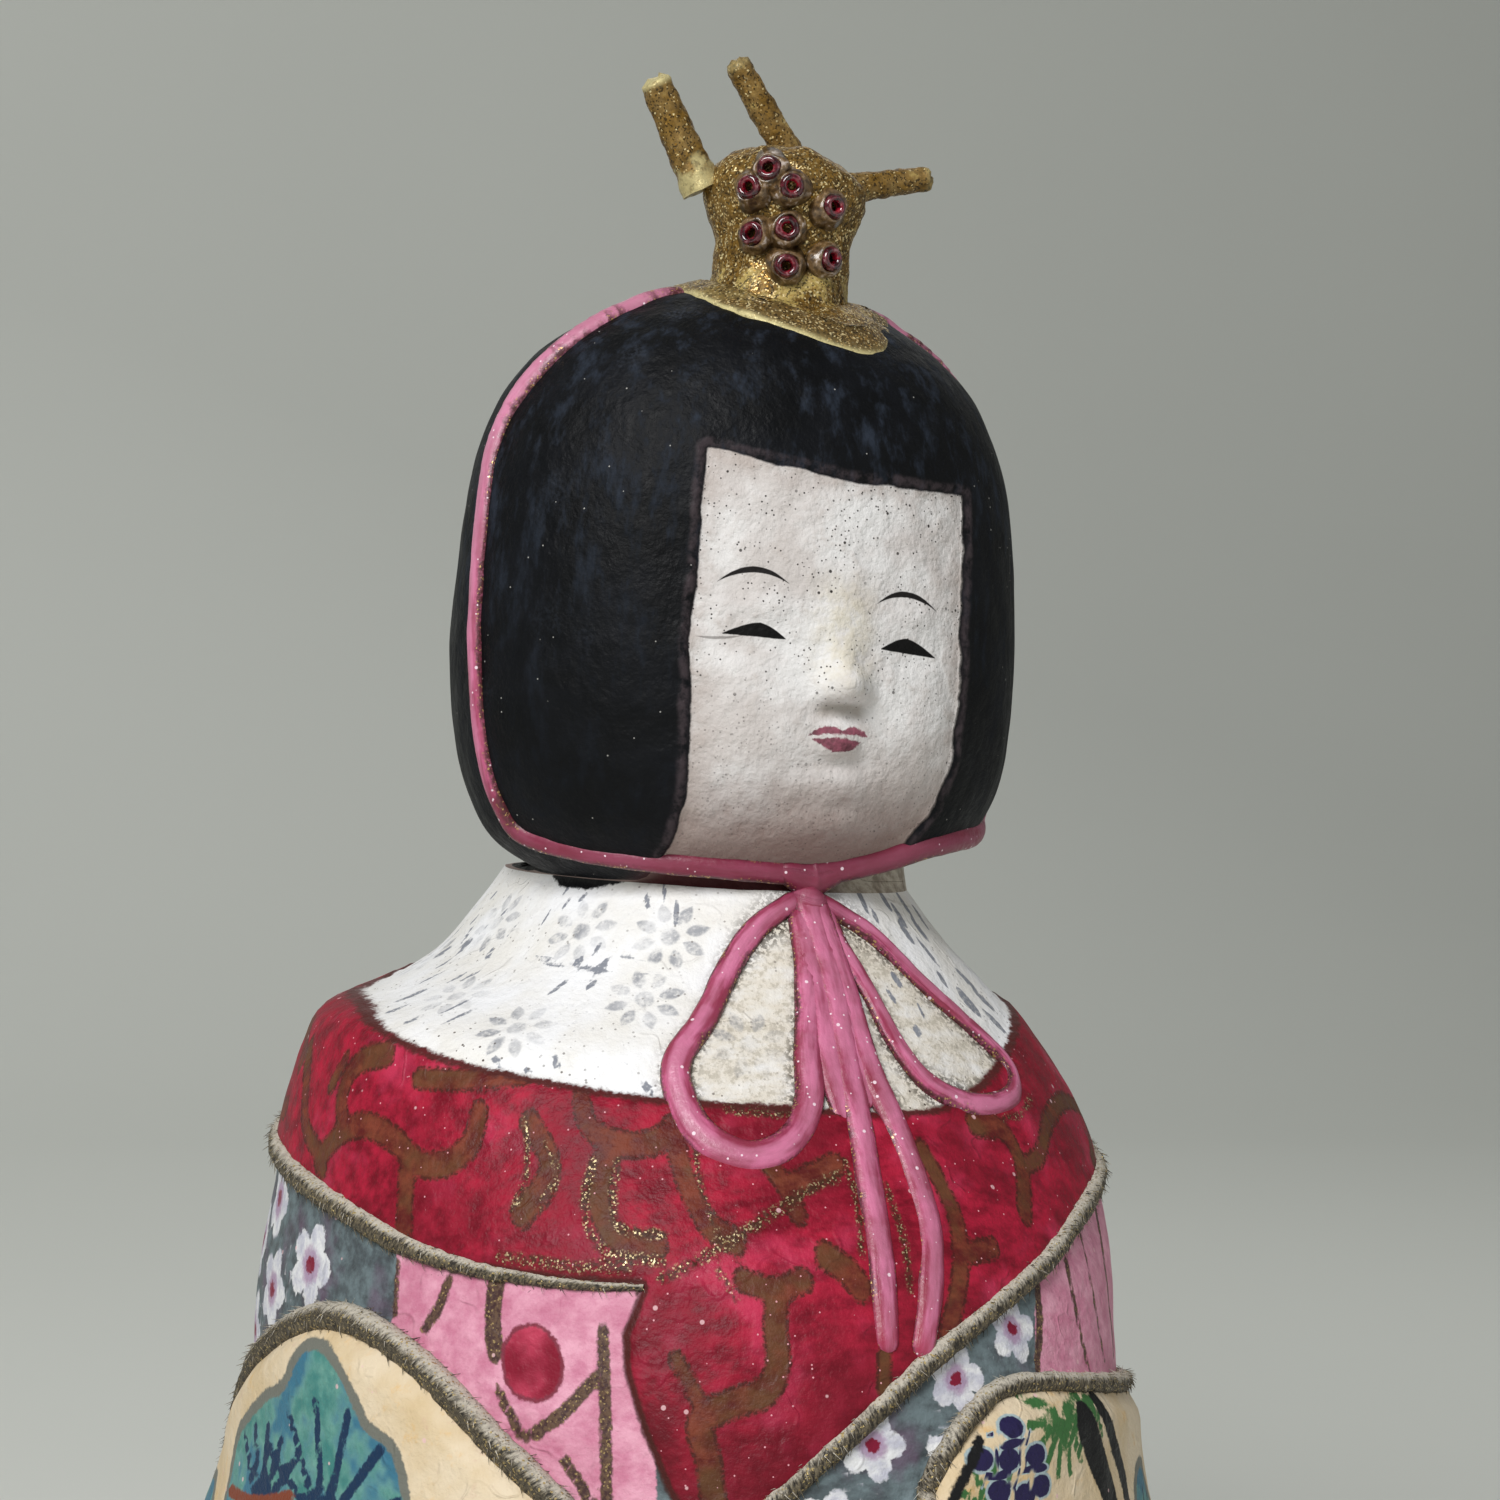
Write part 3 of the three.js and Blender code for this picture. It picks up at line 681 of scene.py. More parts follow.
def robe_fields(turn, height, points):
    """The painted areas of the cloak, as named distances and flower places."""
    places = flat(np.stack([turn, height], -1))
    sleeves = [
        list(rounded(edge)) + [(edge[-1][0], below_table), (edge[0][0], below_table)]
        for edge in (right_sleeve_edge, left_sleeve_edge)
    ]
    strands = [(2.6, bow_left_loop), (2.0, bow_right_loop)] + [(2.6, tail) for tail in bow_tails]
    strokes = {
        "scroll": scroll_strokes, "glitter": glitter_strokes, "wine": wine_lines, "needle": pine_needles,
        "leaf": green_needles, "ground": ground_lines, "band": dark_bands, "strand": strands,
    }
    patches = {
        "collar": [collar_left + lapel_edge + collar_right + collar_top],
        "slate": slate_patches,
        "pine": [rounded(outline, 3) for outline in pine_clumps],
        "smear": [smear_patch],
        "loop": [rounded(loop) for loop in (bow_left_loop, bow_right_loop, bow_gap)],
    }
    fields = {name: stroke_field(lines, places) for name, lines in strokes.items()}
    fields.update({name: inside_any(outlines, places) for name, outlines in patches.items()})
    fields["scarf"] = height - smooth_row(scarf_border, turn)[:, 0]
    fields["sleeve"] = np.maximum(inside_any(sleeves, places), far_outside)
    dots = [radius - np.hypot(*(places - flat([(t, h)])[0]).T) for t, h, radius in red_dots]
    fields["dot"] = np.max(dots, axis=0)
    fields["dab"] = dab_field(scarf_dabs, places)
    fields["floret"] = flower_places(points, floret_places, robe_point, 5.0)
    fields["blossom"] = flower_places(points, blossom_places, robe_point, 4.6)
    fields["blossom"][:, :2] *= np.where(turn < -60, 0.75, 1.0)[:, None]
    fields["grape"] = flower_places(points, grape_places, robe_point, 2.0, 0.5)
    return fields


# %% Meshes from grids of points
def loft_faces(rows, columns):
    """Faces of a closed lathe grid with a bottom point first and a top point last."""
    top = 1 + rows * columns
    around = np.arange(columns)
    after = (around + 1) % columns
    faces = [(0, 1 + b, 1 + a) for a, b in zip(around, after)]
    for row in range(rows - 1):
        low = 1 + row * columns
        high = low + columns
        faces += [(low + a, low + b, high + b, high + a) for a, b in zip(around, after)]
    low = 1 + (rows - 1) * columns
    faces += [(low + a, low + b, top) for a, b in zip(around, after)]
    return faces


def add_mesh(name, points, faces):
    """A smooth mesh object from points in metres."""
    mesh = bpy.data.meshes.new(name)
    mesh.from_pydata(points, [], faces)
    mesh.update()
    mesh.polygons.foreach_set("use_smooth", [True] * len(mesh.polygons))
    return add_object(name, mesh)


def new_piece(name, points, faces):
    """A smooth mesh object from points in mm about the turning axis."""
    return add_mesh(name, to_frame(points).tolist(), [tuple(int(i) for i in face) for face in faces])


def store(mesh, name, values):
    """Keeps one number, or three, on every point of a mesh."""
    values = np.asarray(values, np.float32)
    if values.ndim == 1:
        mesh.attributes.new(name, "FLOAT", "POINT").data.foreach_set("value", values)
    else:
        mesh.attributes.new(name, "FLOAT_VECTOR", "POINT").data.foreach_set("vector", values.ravel())


# %% [markdown]
# The head is part of the same grid, but its paint is placed by where a point
# lies on the face. Its relief is the hair's thickness and the finest features,
# and it is drawn in a little on its left, behind the cord under the chin.

# %% Fields and relief of the head
def head_fields(turn, height):
    """Where points of the head lie on its face, and how far in its painted areas."""
    cosine = np.cos(np.radians(turn))
    across = smooth_row(head_sections, height)[:, 0] * np.sin(np.radians(turn))
    chin_cord = np.asarray(hair_cord[8:18], float)
    under_cord = np.interp(turn, chin_cord[:, 0], chin_cord[:, 1]) - height
    return {
        "face": face_field(across, height, cosine),
        "facing": np.stack([across, height, cosine], -1),
        "under": np.where(cosine > 0.15, under_cord, -5.0),
    }


def head_relief(turn, fields):
    """How far the head's skin stands proud, in mm: hair, fine features, and a tuck by the neck."""
    across, height, cosine = fields["facing"].T
    face = fields["face"]
    proud = hair_thickness * smooth_step(-face, -0.15, 0.45)
    fine = mound_relief(across, height, fine_mounds) * smooth_step(cosine, 0.2, 0.5)
    proud += fine * smooth_step(face, -0.5, 1.0)
    below = smooth_step(tuck_top - height, 0, 1.5)
    beside = smooth_step(turn, tuck_turns[0], 40) * smooth_step(tuck_turns[1] - turn, 0, 30)
    return proud - tuck_depth * below * beside


# %% The doll's skin
def make_skin():
    """The whole painted shell as one closed mesh, with its painted areas stored on it."""
    turn_r, height_r = [g.ravel() for g in np.meshgrid(turns, robe_rows)]
    turn_h, height_h = [g.ravel() for g in np.meshgrid(turns, head_rows)]
    robe = robe_point(turn_r, height_r)
    head = head_point(turn_h, height_h)
    stored = {}
    for name, values in robe_fields(turn_r, height_r, robe).items():
        filler = head_filler.get(name, far_outside)
        stored[name] = np.concatenate([values, np.full((len(head),) + values.shape[1:], filler)])
    on_head = head_fields(turn_h, height_h)
    stored["face"] = np.concatenate([np.full(len(robe), 5.0), on_head["face"]])
    stored["facing"] = np.vstack([robe * [1, 0, 0], on_head["facing"]])
    stored["under"] = np.concatenate([np.full(len(robe), 5.0), on_head["under"]])
    points = np.vstack([robe, head])
    rows = len(robe_rows) + len(head_rows)
    normals = outward(points, (rows, skin_columns))
    on_collar = smooth_step(stored["collar"], -0.1, 0.5) * smooth_step(-stored["scarf"], -0.1, 0.5)
    proud = collar_thickness * on_collar
    proud[len(robe):] = head_relief(turn_h, on_head)
    for depth, size, seed in paper_dents:
        proud += depth * dents(points, size, seed)
    above_table = smooth_step(points[:, 2], 0, 3)
    points = points + normals * (proud * above_table)[:, None]
    top = head_point(0, head_sections[-1][0])[None, :]
    points = np.vstack([[[0, 0, 0]], points, top])
    piece = new_piece("painted_shell", points, loft_faces(rows, skin_columns))
    for name, values in stored.items():
        store(piece.data, name, np.concatenate([values[:1], values, values[-1:]]))
    head_start = 1 + skin_columns * len(robe_rows)
    in_head = [min(p.vertices) >= head_start - skin_columns for p in piece.data.polygons]
    piece.data.polygons.foreach_set("material_index", np.asarray(in_head, np.int32))
    return piece


shell = make_skin()
print("shell has", len(shell.data.polygons), "faces")

# %% [markdown]
# ## Writing materials as sums
# A material is a net of small nodes. Here one class wraps a node's output, so
# that sums and products on it add the right nodes, and a second class adds
# any other kind of node. Both also serve the node trees that build shapes.

# %% A value in a node tree
class Flow:
    """One output in a node tree; arithmetic on it adds Math nodes."""

    def __init__(self, maker, socket):
        self.maker = maker
        self.socket = socket

    def math(self, operation, *others):
        return self.maker.math(operation, self, *others)

    def __add__(self, other):
        return self.math("ADD", other)

    __radd__ = __add__

    def __mul__(self, other):
        return self.math("MULTIPLY", other)

    __rmul__ = __mul__

    def __sub__(self, other):
        return self.math("SUBTRACT", other)

    def __rsub__(self, other):
        return self.maker.math("SUBTRACT", other, self)

    def __truediv__(self, other):
        return self.math("DIVIDE", other)

    def __pow__(self, other):
        return self.math("POWER", other)

    def __abs__(self):
        return self.math("ABSOLUTE")

    def least(self, other):
        return self.math("MINIMUM", other)

    def most(self, other):
        return self.math("MAXIMUM", other)

    def ramp(self, low, high, start=0.0, end=1.0):
        """A smooth change from start to end as this goes from low to high."""
        sockets = {0: self, 1: low, 2: high, 3: start, 4: end}
        return self.maker.add("ShaderNodeMapRange", {"interpolation_type": "SMOOTHSTEP"}, sockets)

    def coat(self, mask, above):
        """This colour with another over it where mask is 1."""
        return self.maker.mix(mask, self, above)

    def tones(self, dark, light, low=0.35):
        """A colour that goes from one web colour to another about the middle of this noise."""
        return self.maker.mix(self.ramp(low, 1 - low), dark, light)

    def parts(self):
        """The three numbers of a vector."""
        self.maker.add("ShaderNodeSeparateXYZ", sockets={0: self})
        return [Flow(self.maker, socket) for socket in self.maker.last.outputs]

    def stretched(self, x, y, z):
        return self.maker.add("ShaderNodeVectorMath", {"operation": "MULTIPLY"}, {0: self, 1: (x, y, z)})

    def moved(self, x, y, z):
        return self.maker.add("ShaderNodeVectorMath", {"operation": "ADD"}, {0: self, 1: (x, y, z)})

    def cloud(self, size, detail=2.0, rough=0.5):
        """Soft noise from 0 to 1 with features about this many mm across."""
        sockets = {"Vector": self, "Scale": 1 / size, "Detail": detail, "Roughness": rough}
        return self.maker.add("ShaderNodeTexNoise", sockets=sockets)

    def cells(self, size, out="Distance"):
        """Cells about this many mm across: their distance, or a random colour for each."""
        sockets = {"Vector": self, "Scale": 1 / size}
        return self.maker.add("ShaderNodeTexVoronoi", sockets=sockets, out=out)

    def specks(self, size, share, radius=0.3):
        """Small dots in a share of the cells of this size: 1 inside a dot."""
        random = self.cells(size, "Color").parts()[0]
        chosen = random.ramp(share, share + 0.001, 1.0, 0.0)
        return chosen * self.cells(size).ramp(radius * 0.7, radius, 1.0, 0.0)


# %% A maker of nodes
class Maker:
    """Adds nodes to one tree, which may be a material's."""

    def __init__(self, tree, material=None):
        self.tree = tree
        self.material = material

    def add(self, kind, settings=None, sockets=None, out=0):
        """A node of any kind: its settings first, then the values or links of its sockets."""
        node = self.tree.nodes.new(kind)
        for name, value in (settings or {}).items():
            setattr(node, name, value)
        for key, value in (sockets or {}).items():
            if isinstance(value, Flow):
                self.tree.links.new(value.socket, node.inputs[key])
            else:
                node.inputs[key].default_value = value
        self.last = node
        return Flow(self, node.outputs[out]) if len(node.outputs) else None

    def math(self, operation, *values):
        return self.add("ShaderNodeMath", {"operation": operation}, dict(enumerate(values)))

    def mm(self):
        """Object coordinates in mm."""
        place = self.add("ShaderNodeTexCoord", out="Object")
        return self.add("ShaderNodeVectorMath", {"operation": "SCALE"}, {0: place, "Scale": 1000.0})

    def stored(self, name, vector=False):
        """A number or three that the mesh keeps on its points."""
        settings = {"attribute_type": "GEOMETRY", "attribute_name": name}
        return self.add("ShaderNodeAttribute", settings, out="Vector" if vector else "Fac")

    def mix(self, mask, below, above):
        """One colour over another where mask is 1; a colour may be a web colour."""
        below, above = [colour(c) if isinstance(c, str) else c for c in (below, above)]
        return self.add("ShaderNodeMix", {"data_type": "RGBA"}, {0: mask, 6: below, 7: above}, out=2)


# %% Colours and materials
def colour(code):
    """A web colour such as #a5243c as the linear colour that nodes take."""
    parts = [int(code[i:i + 2], 16) / 255 for i in (1, 3, 5)]
    linear = [p / 12.92 if p <= 0.04045 else ((p + 0.055) / 1.055) ** 2.4 for p in parts]
    return (*linear, 1.0)


def start_material(name):
    """A maker for the nodes of a new, empty material."""
    material = bpy.data.materials.new(name)
    material.use_nodes = True
    material.node_tree.nodes.clear()
    return Maker(material.node_tree, material)


def finish_material(paint, sockets, relief=None, depth=0.1, gloss=0.5):
    """The material with one Principled shader; relief goes from 0 to 1 and is depth mm high."""
    sockets = {**sockets, "Specular IOR Level": gloss}
    if relief is not None:
        bump = {"Height": relief, "Distance": depth / 1000, "Strength": 1.0}
        sockets = {**sockets, "Normal": paint.add("ShaderNodeBump", sockets=bump)}
    shader = paint.add("ShaderNodeBsdfPrincipled", sockets=sockets)
    paint.add("ShaderNodeOutputMaterial", sockets={"Surface": shader})
    return paint.material


# %% [markdown]
# ## Paint on the cloak
# The maker's paints are opaque, matt and a little uneven, with a thin gloss.
# White shows through where they have chipped. Each colour is mottled by two
# sizes of noise, then laid over the last where its distance field says so.

# %% Brush edges and small flowers
def brush_edge(field, wobble, soft=0.14):
    """A painted edge at zero of a distance field, moved a little by the brush."""
    return (field + wobble).ramp(-soft, soft)


def grey_floret(local, uneven):
    """Grey dabs round a centre, as on the scarf: 1 inside a dab."""
    across, upward, near = local.parts()
    angle = upward.math("ARCTAN2", across)
    reach = (across * across + upward * upward).math("SQRT")
    dabs = 8 / (2 * math.pi)
    turn_in_dab = ((angle * dabs).math("FRACT") - 0.5) * (1 / dabs)
    sideways = abs(turn_in_dab * reach)
    stretch = (reach + uneven * 0.5 - 2.6) * 0.87
    half_width = (1 - stretch * stretch) * 0.62 + uneven * 0.15
    petal = (half_width - sideways).ramp(-0.16, 0.16)
    heart = (reach + uneven * 0.5).ramp(0.7, 1.05, 1.0, 0.0)
    return petal.most(heart) * near.ramp(0.3, 0.7)


def white_blossom(local, petals, size):
    """A small blossom: how far inside its petals, and its heart."""
    across, upward, near = local.parts()
    angle = upward.math("ARCTAN2", across)
    reach = (across * across + upward * upward).math("SQRT")
    wave = abs((angle * (petals / 2)).math("COSINE"))
    edge = wave * (size * 0.36) + size * 0.68
    return edge - reach, reach, near.ramp(0.35, 0.8)


# %% [markdown]
# Every layer of the cloak is mottled by the same few noises, so that a dark
# patch runs on under its neighbours as it does on the real, handled paint.
# They are made once, and each layer below is a function that picks from them.

# %% Noises that the layers share
class Ground:
    """The noises of the cloak's paint, in one node tree."""

    def __init__(self, paint):
        self.paint = paint
        self.mm = paint.mm()
        self.broad = self.mm.cloud(7.0, 3.0, 0.6)
        self.brush = self.mm.stretched(0.5, 1.0, 1.0).cloud(1.8, 4.0, 0.65)
        self.grain = self.mm.cloud(0.42, 3.0, 0.6)
        self.wobble = (self.mm.cloud(1.5, 3.0, 0.7) - 0.5) * 1.1
        self.fine_wobble = (self.grain - 0.5) * 0.5
        self.edge = self.wobble * 0.6 + self.fine_wobble
        self.sparkle = self.mm.cells(0.15, "Color").parts()
        self.height = self.mm.parts()[2]

    def mottles(self):
        """The three noises that mottle a colour, from the broadest to the finest."""
        return self.broad, self.brush, self.grain

    def area(self, name, soft=0.14, fine=False):
        """Where a painted area lies, with an edge moved by the brush."""
        return brush_edge(self.paint.stored(name), self.fine_wobble if fine else self.edge, soft)


# %% Panels under the collar
def pink_panels(ground):
    """Pink with wine lines and red dots."""
    broad, brush, grain = ground.mottles()
    pink = brush.tones("#c67c96", "#dfa2b6", 0.3)
    pink = pink.coat(broad.ramp(0.4, 0.75, 0, 0.5), "#a8506e")
    wine = ground.area("wine")
    pink = pink.coat(wine * 0.95, grain.tones("#2f221a", "#574630", 0.4))
    pink = pink.coat(wine * ground.sparkle[0].ramp(0.92, 0.95), "#957f55")
    dot = ground.paint.stored("dot")
    pink = pink.coat(brush_edge(dot + 0.35, ground.edge), "#7a3040")
    return pink.coat(brush_edge(dot, ground.edge), broad.tones("#7d1029", "#b53a54", 0.4))


def slate_panels(ground):
    """Slate with white blossoms; their hearts are wine-red, but pale on the doll's far right."""
    broad, brush = ground.mottles()[:2]
    slate = brush.tones("#43494d", "#6b797d", 0.3)
    slate = slate.coat(broad.ramp(0.5, 0.7, 0, 0.55), "#6a4a66")
    inside, reach, near = white_blossom(ground.paint.stored("blossom", True), 5, 2.9)
    flower = (inside + ground.wobble * 1.2 + ground.fine_wobble).ramp(-0.15, 0.1) * near
    petals = brush.tones("#dededf", "#b9b9c6")
    petals = petals.coat((reach + ground.edge * 1.4).ramp(0.9, 1.6, 0.85, 0), "#a184a2")
    wine_heart = (ground.mm.parts()[0] + broad * 30).ramp(-32, -26, 0.12, 1)
    heart = (reach + ground.edge * 1.6).ramp(0.5, 0.7, 1, 0) * wine_heart
    return slate.coat(flower, petals.coat(heart, "#7c1531"))


# %% Sleeves and hem
def sleeve_landscape(ground):
    """Cream with pines, needles, ground lines, leaves, wisteria and dark bands."""
    broad, brush = ground.mottles()[:2]
    cream = broad.tones("#cdb690", "#dccbb0", 0.3)
    cream = cream.coat(brush.ramp(0.55, 0.8, 0, 0.6), "#d7a44e")
    cream = cream.coat(brush.ramp(0.2, 0.42, 0.5, 0), "#c49a8a")
    pine = ground.paint.stored("pine")
    cream = cream.coat(brush_edge(pine + 1.1, ground.edge), "#6f7068")
    hill = (broad + (brush - 0.5) * 0.3).tones("#3c7a76", "#7fae9f")
    hill = hill.coat(broad.ramp(0.45, 0.6), "#3a6f86")
    cream = cream.coat(brush_edge(pine, ground.edge), hill)
    cream = cream.coat(ground.area("needle", 0.1, True) * pine.ramp(-0.2, 0.2), "#16304e")
    cream = cream.coat(ground.area("ground"), "#7c3d28")
    cream = cream.coat(ground.area("leaf", 0.1, True), "#3c6a3a")
    across, upward, near = ground.paint.stored("grape", True).parts()
    near = near.ramp(0.35, 0.8)
    berry = across * across * 0.8 + upward * upward * 1.3
    cream = cream.coat((berry + ground.edge).ramp(1.7, 2.2, 1, 0) * near, "#9fb0b4")
    cream = cream.coat((berry + ground.edge).ramp(1.1, 1.4, 1, 0) * near, "#241e46")
    return cream.coat(ground.area("band"), "#131314")


gold_line_top = 18.3
hem_top = 17.5
foot_top = 4.2


def hem(ground, colours):
    """A thin gold line, a wine band under it and a dark foot."""
    broad, brush, grain = ground.mottles()
    band = ground.paint.mix(brush, "#701228", "#a0203a")
    band = band.coat(broad.ramp(0.42, 0.62, 0, 0.7), "#561322")
    band = ground.paint.mix(grain.ramp(0.6, 0.68, 0, 0.5), band, "#b9768a")
    for top, colour_below in ((gold_line_top, "#6d5a35"), (hem_top, band), (foot_top, "#33251f")):
        colours = colours.coat(brush_edge(top - ground.height, ground.edge), colour_below)
    return colours


# %% The crimson collar
def crimson_collar(ground):
    """Crimson, painted darker towards its bottom as shade, with a brown scroll, gold glitter and mica;
    also where the gold lies.
    """
    broad, brush, grain = ground.mottles()
    crimson = brush.tones("#6c061c", "#a81735", 0.3)
    crimson = crimson.coat(broad.ramp(0.5, 0.72, 0, 0.75), "#c33557")
    crimson = crimson.coat(broad.ramp(0.25, 0.45, 0.6, 0), "#5e0616")
    crimson = crimson.coat(ground.mm.cloud(15.0, 2.0).ramp(0.45, 0.62, 0, 0.5), "#6b0a1d")
    # painted shade: the crimson darkens towards the bottom of the collar
    crimson = crimson.coat((ground.height + (broad - 0.5) * 20).ramp(62, 84, 0.5, 0), "#4e0511")
    scroll = ground.paint.stored("scroll") + ground.wobble * 0.35
    stroke = brush.tones("#4c1a14", "#743a26")
    stroke = stroke.coat(broad.ramp(0.42, 0.6, 0, 0.65), "#4a4020")
    scroll_mask = (scroll + ground.fine_wobble).ramp(-0.35, 0.35)
    crimson = crimson.coat(scroll_mask * brush.ramp(0.2, 0.55, 0.6, 0.92), stroke)
    rim = abs(scroll - 0.05 + ground.fine_wobble).ramp(0.08, 0.32, 1, 0)
    crimson = crimson.coat(rim * grain.ramp(0.42, 0.56, 0.1, 0.75), "#35170f")
    gilded = ground.area("glitter", 0.3)
    crimson = crimson.coat(gilded * grain.ramp(0.35, 0.55, 0.3, 0.95), "#3f2416")
    gold_mask = gilded * ground.sparkle[1].ramp(0.82, 0.86)
    crimson = crimson.coat(gold_mask, ground.paint.mix(ground.sparkle[2], "#7a6540", "#d3c198"))
    mica = ground.mm.moved(1, 2, 3).specks(0.6, 0.14, 0.16)
    return crimson.coat(mica * 0.8, "#e9a9b2"), gold_mask


# %% The white scarf
def white_scarf(ground, scarf):
    """White with grey florets and dabs, stained in the bow's loops and sooty by its cords."""
    broad, brush, grain = ground.mottles()
    white = broad.tones("#ececee", "#e2dfda", 0.3)
    white = white.coat(brush.ramp(0.6, 0.85, 0, 0.5), "#c9c2b8")
    loop = ground.paint.stored("loop").ramp(-0.2, 0.6)
    white = white.coat(loop * brush.ramp(0.3, 0.6, 0.3, 0.85), "#d3cabb")
    stain = (grain * 0.5 + brush * 0.5).ramp(0.5, 0.58) * loop
    white = white.coat(stain * 0.5, "#a29b8c")
    faded = (brush * 0.5 + grain * 0.5).ramp(0.34, 0.6, 0.1, 0.85) * broad.ramp(0.42, 0.6, 0.35, 1)
    florets = grey_floret(ground.paint.stored("floret", True), ground.wobble * 1.4)
    dabs = (ground.paint.stored("dab") + ground.fine_wobble * 0.8).ramp(-0.06, 0.1)
    dabs = (florets * faded * (1 - loop * 0.35)).most(dabs * grain.ramp(0.3, 0.5, 0.6, 1))
    white = white.coat(dabs, "#858891")
    dusty = broad.ramp(0.4, 0.6, 0.1, 0.6) + scarf.ramp(0.5, 4, 0.5, 0)
    white = white.coat(ground.mm.specks(0.6, 0.3, 0.24) * dusty, "#5b524c")
    strand = ground.paint.stored("strand") + ground.wobble * 2
    soot = strand.ramp(-2.2, 0.2) * grain.ramp(0.45, 0.52) * (loop * 0.5 + 0.5)
    return white.coat(soot * 0.9, "#3b332a")


# %% The layers put together
def robe_paint():
    """The cloak's paint: scarf, collar, panels and the landscape on the sleeves."""
    paint = start_material("painted_cloak")
    ground = Ground(paint)
    broad, brush, grain = ground.mottles()
    edge = ground.edge
    colours = pink_panels(ground).coat(ground.area("slate"), slate_panels(ground))
    colours = colours.coat(paint.stored("sleeve").ramp(-0.2, 0.2), sleeve_landscape(ground))
    colours = hem(ground, colours)

    crimson, gold_mask = crimson_collar(ground)
    collar = paint.stored("collar")
    collar_mask = brush_edge(collar, ground.fine_wobble)
    outline = abs(collar - 0.2 + edge * 0.7).ramp(0.25, 0.65, 1, 0)
    colours = colours.coat(collar_mask, crimson).coat(outline * 0.85, "#3c1c16")

    scarf = paint.stored("scarf")
    scarf_mask = brush_edge(scarf, edge * 1.3)
    border = abs(scarf + edge * 1.2 + 0.25).ramp(0.15, 0.6, 1, 0)
    colours = colours.coat(scarf_mask, white_scarf(ground, scarf))
    colours = colours.coat(border * brush.ramp(0.25, 0.5, 0.5, 0.95), "#4a1f1c")
    colours = colours.coat(ground.area("smear"), "#0c0d10")

    # chips that show the white ground
    chips = ground.mm.moved(3, 5, 7).specks(1.6, 0.10, 0.16)
    colours = colours.coat(chips * 0.7 * (1 - scarf_mask), "#e2b9bd")
    metal = gold_mask * collar_mask * (1 - scarf_mask) * 0.5
    rough = brush.ramp(0.2, 0.8, 0.42, 0.62) - metal * 0.2
    paper = ground.mm.cloud(1.1, 3.0, 0.6)
    wrinkle = abs(ground.mm.cloud(6.0, 2.0, 0.5) - 0.5).ramp(0.0, 0.03, 1, 0) * broad.ramp(0.5, 0.6)
    relief = brush * 0.4 + grain * 0.25 + paper * 0.75 + wrinkle * 0.3
    sockets = {"Base Color": colours, "Roughness": rough, "Metallic": metal}
    return finish_material(paint, sockets, relief, 0.26, 0.22)


# %% [markdown]
# ## Face and hair
# The face is primed paper under a shell-white skin, flecked with tiny dark
# specks, and painted darker towards the chin, partly grime and partly painted
# shade from the light above; a painted shadow lies under the nose. Brows, eyes
# and lips are single strokes of a fine brush. They are worked out from where
# each point lies on the face, in mm, so that they stay crisp at any size.

# %% Strokes of a fine brush
def arched_stroke(across, height, start, top, end, thickness):
    """How far inside an arched brush stroke a point lies; it tapers at both ends."""
    middle = (start[0] + end[0]) / 2
    half = (end[0] - start[0]) / 2
    base = (start[1] + end[1]) / 2
    slope = (end[1] - start[1]) / (end[0] - start[0])
    part = (across - middle) / half
    inside = (1 - part * part)
    spine = inside * (top - base) + (across - middle) * slope + base
    return inside * thickness - abs(height - spine) + inside.least(0.0) * 2.0


def half_moon(across, height, start, top, end, lower):
    """How far inside a half-moon eye a point lies: flat below and arched above."""
    middle = top[0]
    left = (middle - across) * (1 / (middle - start[0]))
    right = (across - middle) * (1 / (end[0] - middle))
    side = left.most(right)
    base_left = (across - start[0]) * ((end[1] - start[1]) / (end[0] - start[0])) + start[1]
    arch = (1 - side ** 1.5) * (top[1] - (start[1] + end[1]) / 2) + base_left
    return (arch - height).least(height - base_left + lower) + (side - 1).most(0.0) * -4.0


def any_stroke(shape, across, height, strokes):
    """How far inside the nearest of several strokes a point lies."""
    nearest = shape(across, height, *strokes[0])
    for stroke in strokes[1:]:
        nearest = nearest.most(shape(across, height, *stroke))
    return nearest


# start, height of the middle, end, thickness
lip_strokes = [
    ((-3.3, 126.7), 127.2, (0.5, 126.9), 0.4), ((-0.6, 126.9), 127.15, (2.8, 126.7), 0.38),
    ((-2.9, 126.4), 125.95, (2.0, 126.2), 0.6),
]
brow_strokes = [
    ((-11.8, 140.4), 141.6, (-5.4, 140.4), 0.28), ((3.4, 139.0), 140.0, (10.4, 138.5), 0.28),
]
lid_strokes = [((-13.6, 135.4), 135.3, (-9.5, 135.6), 0.13)]
# start, top, end, how far it reaches below the line between its ends
eye_shapes = [
    ((-11.3, 135.75), (-8.0, 136.8), (-5.6, 135.45), 0.08),
    ((4.0, 134.9), (6.8, 135.85), (10.4, 134.3), 0.08),
]


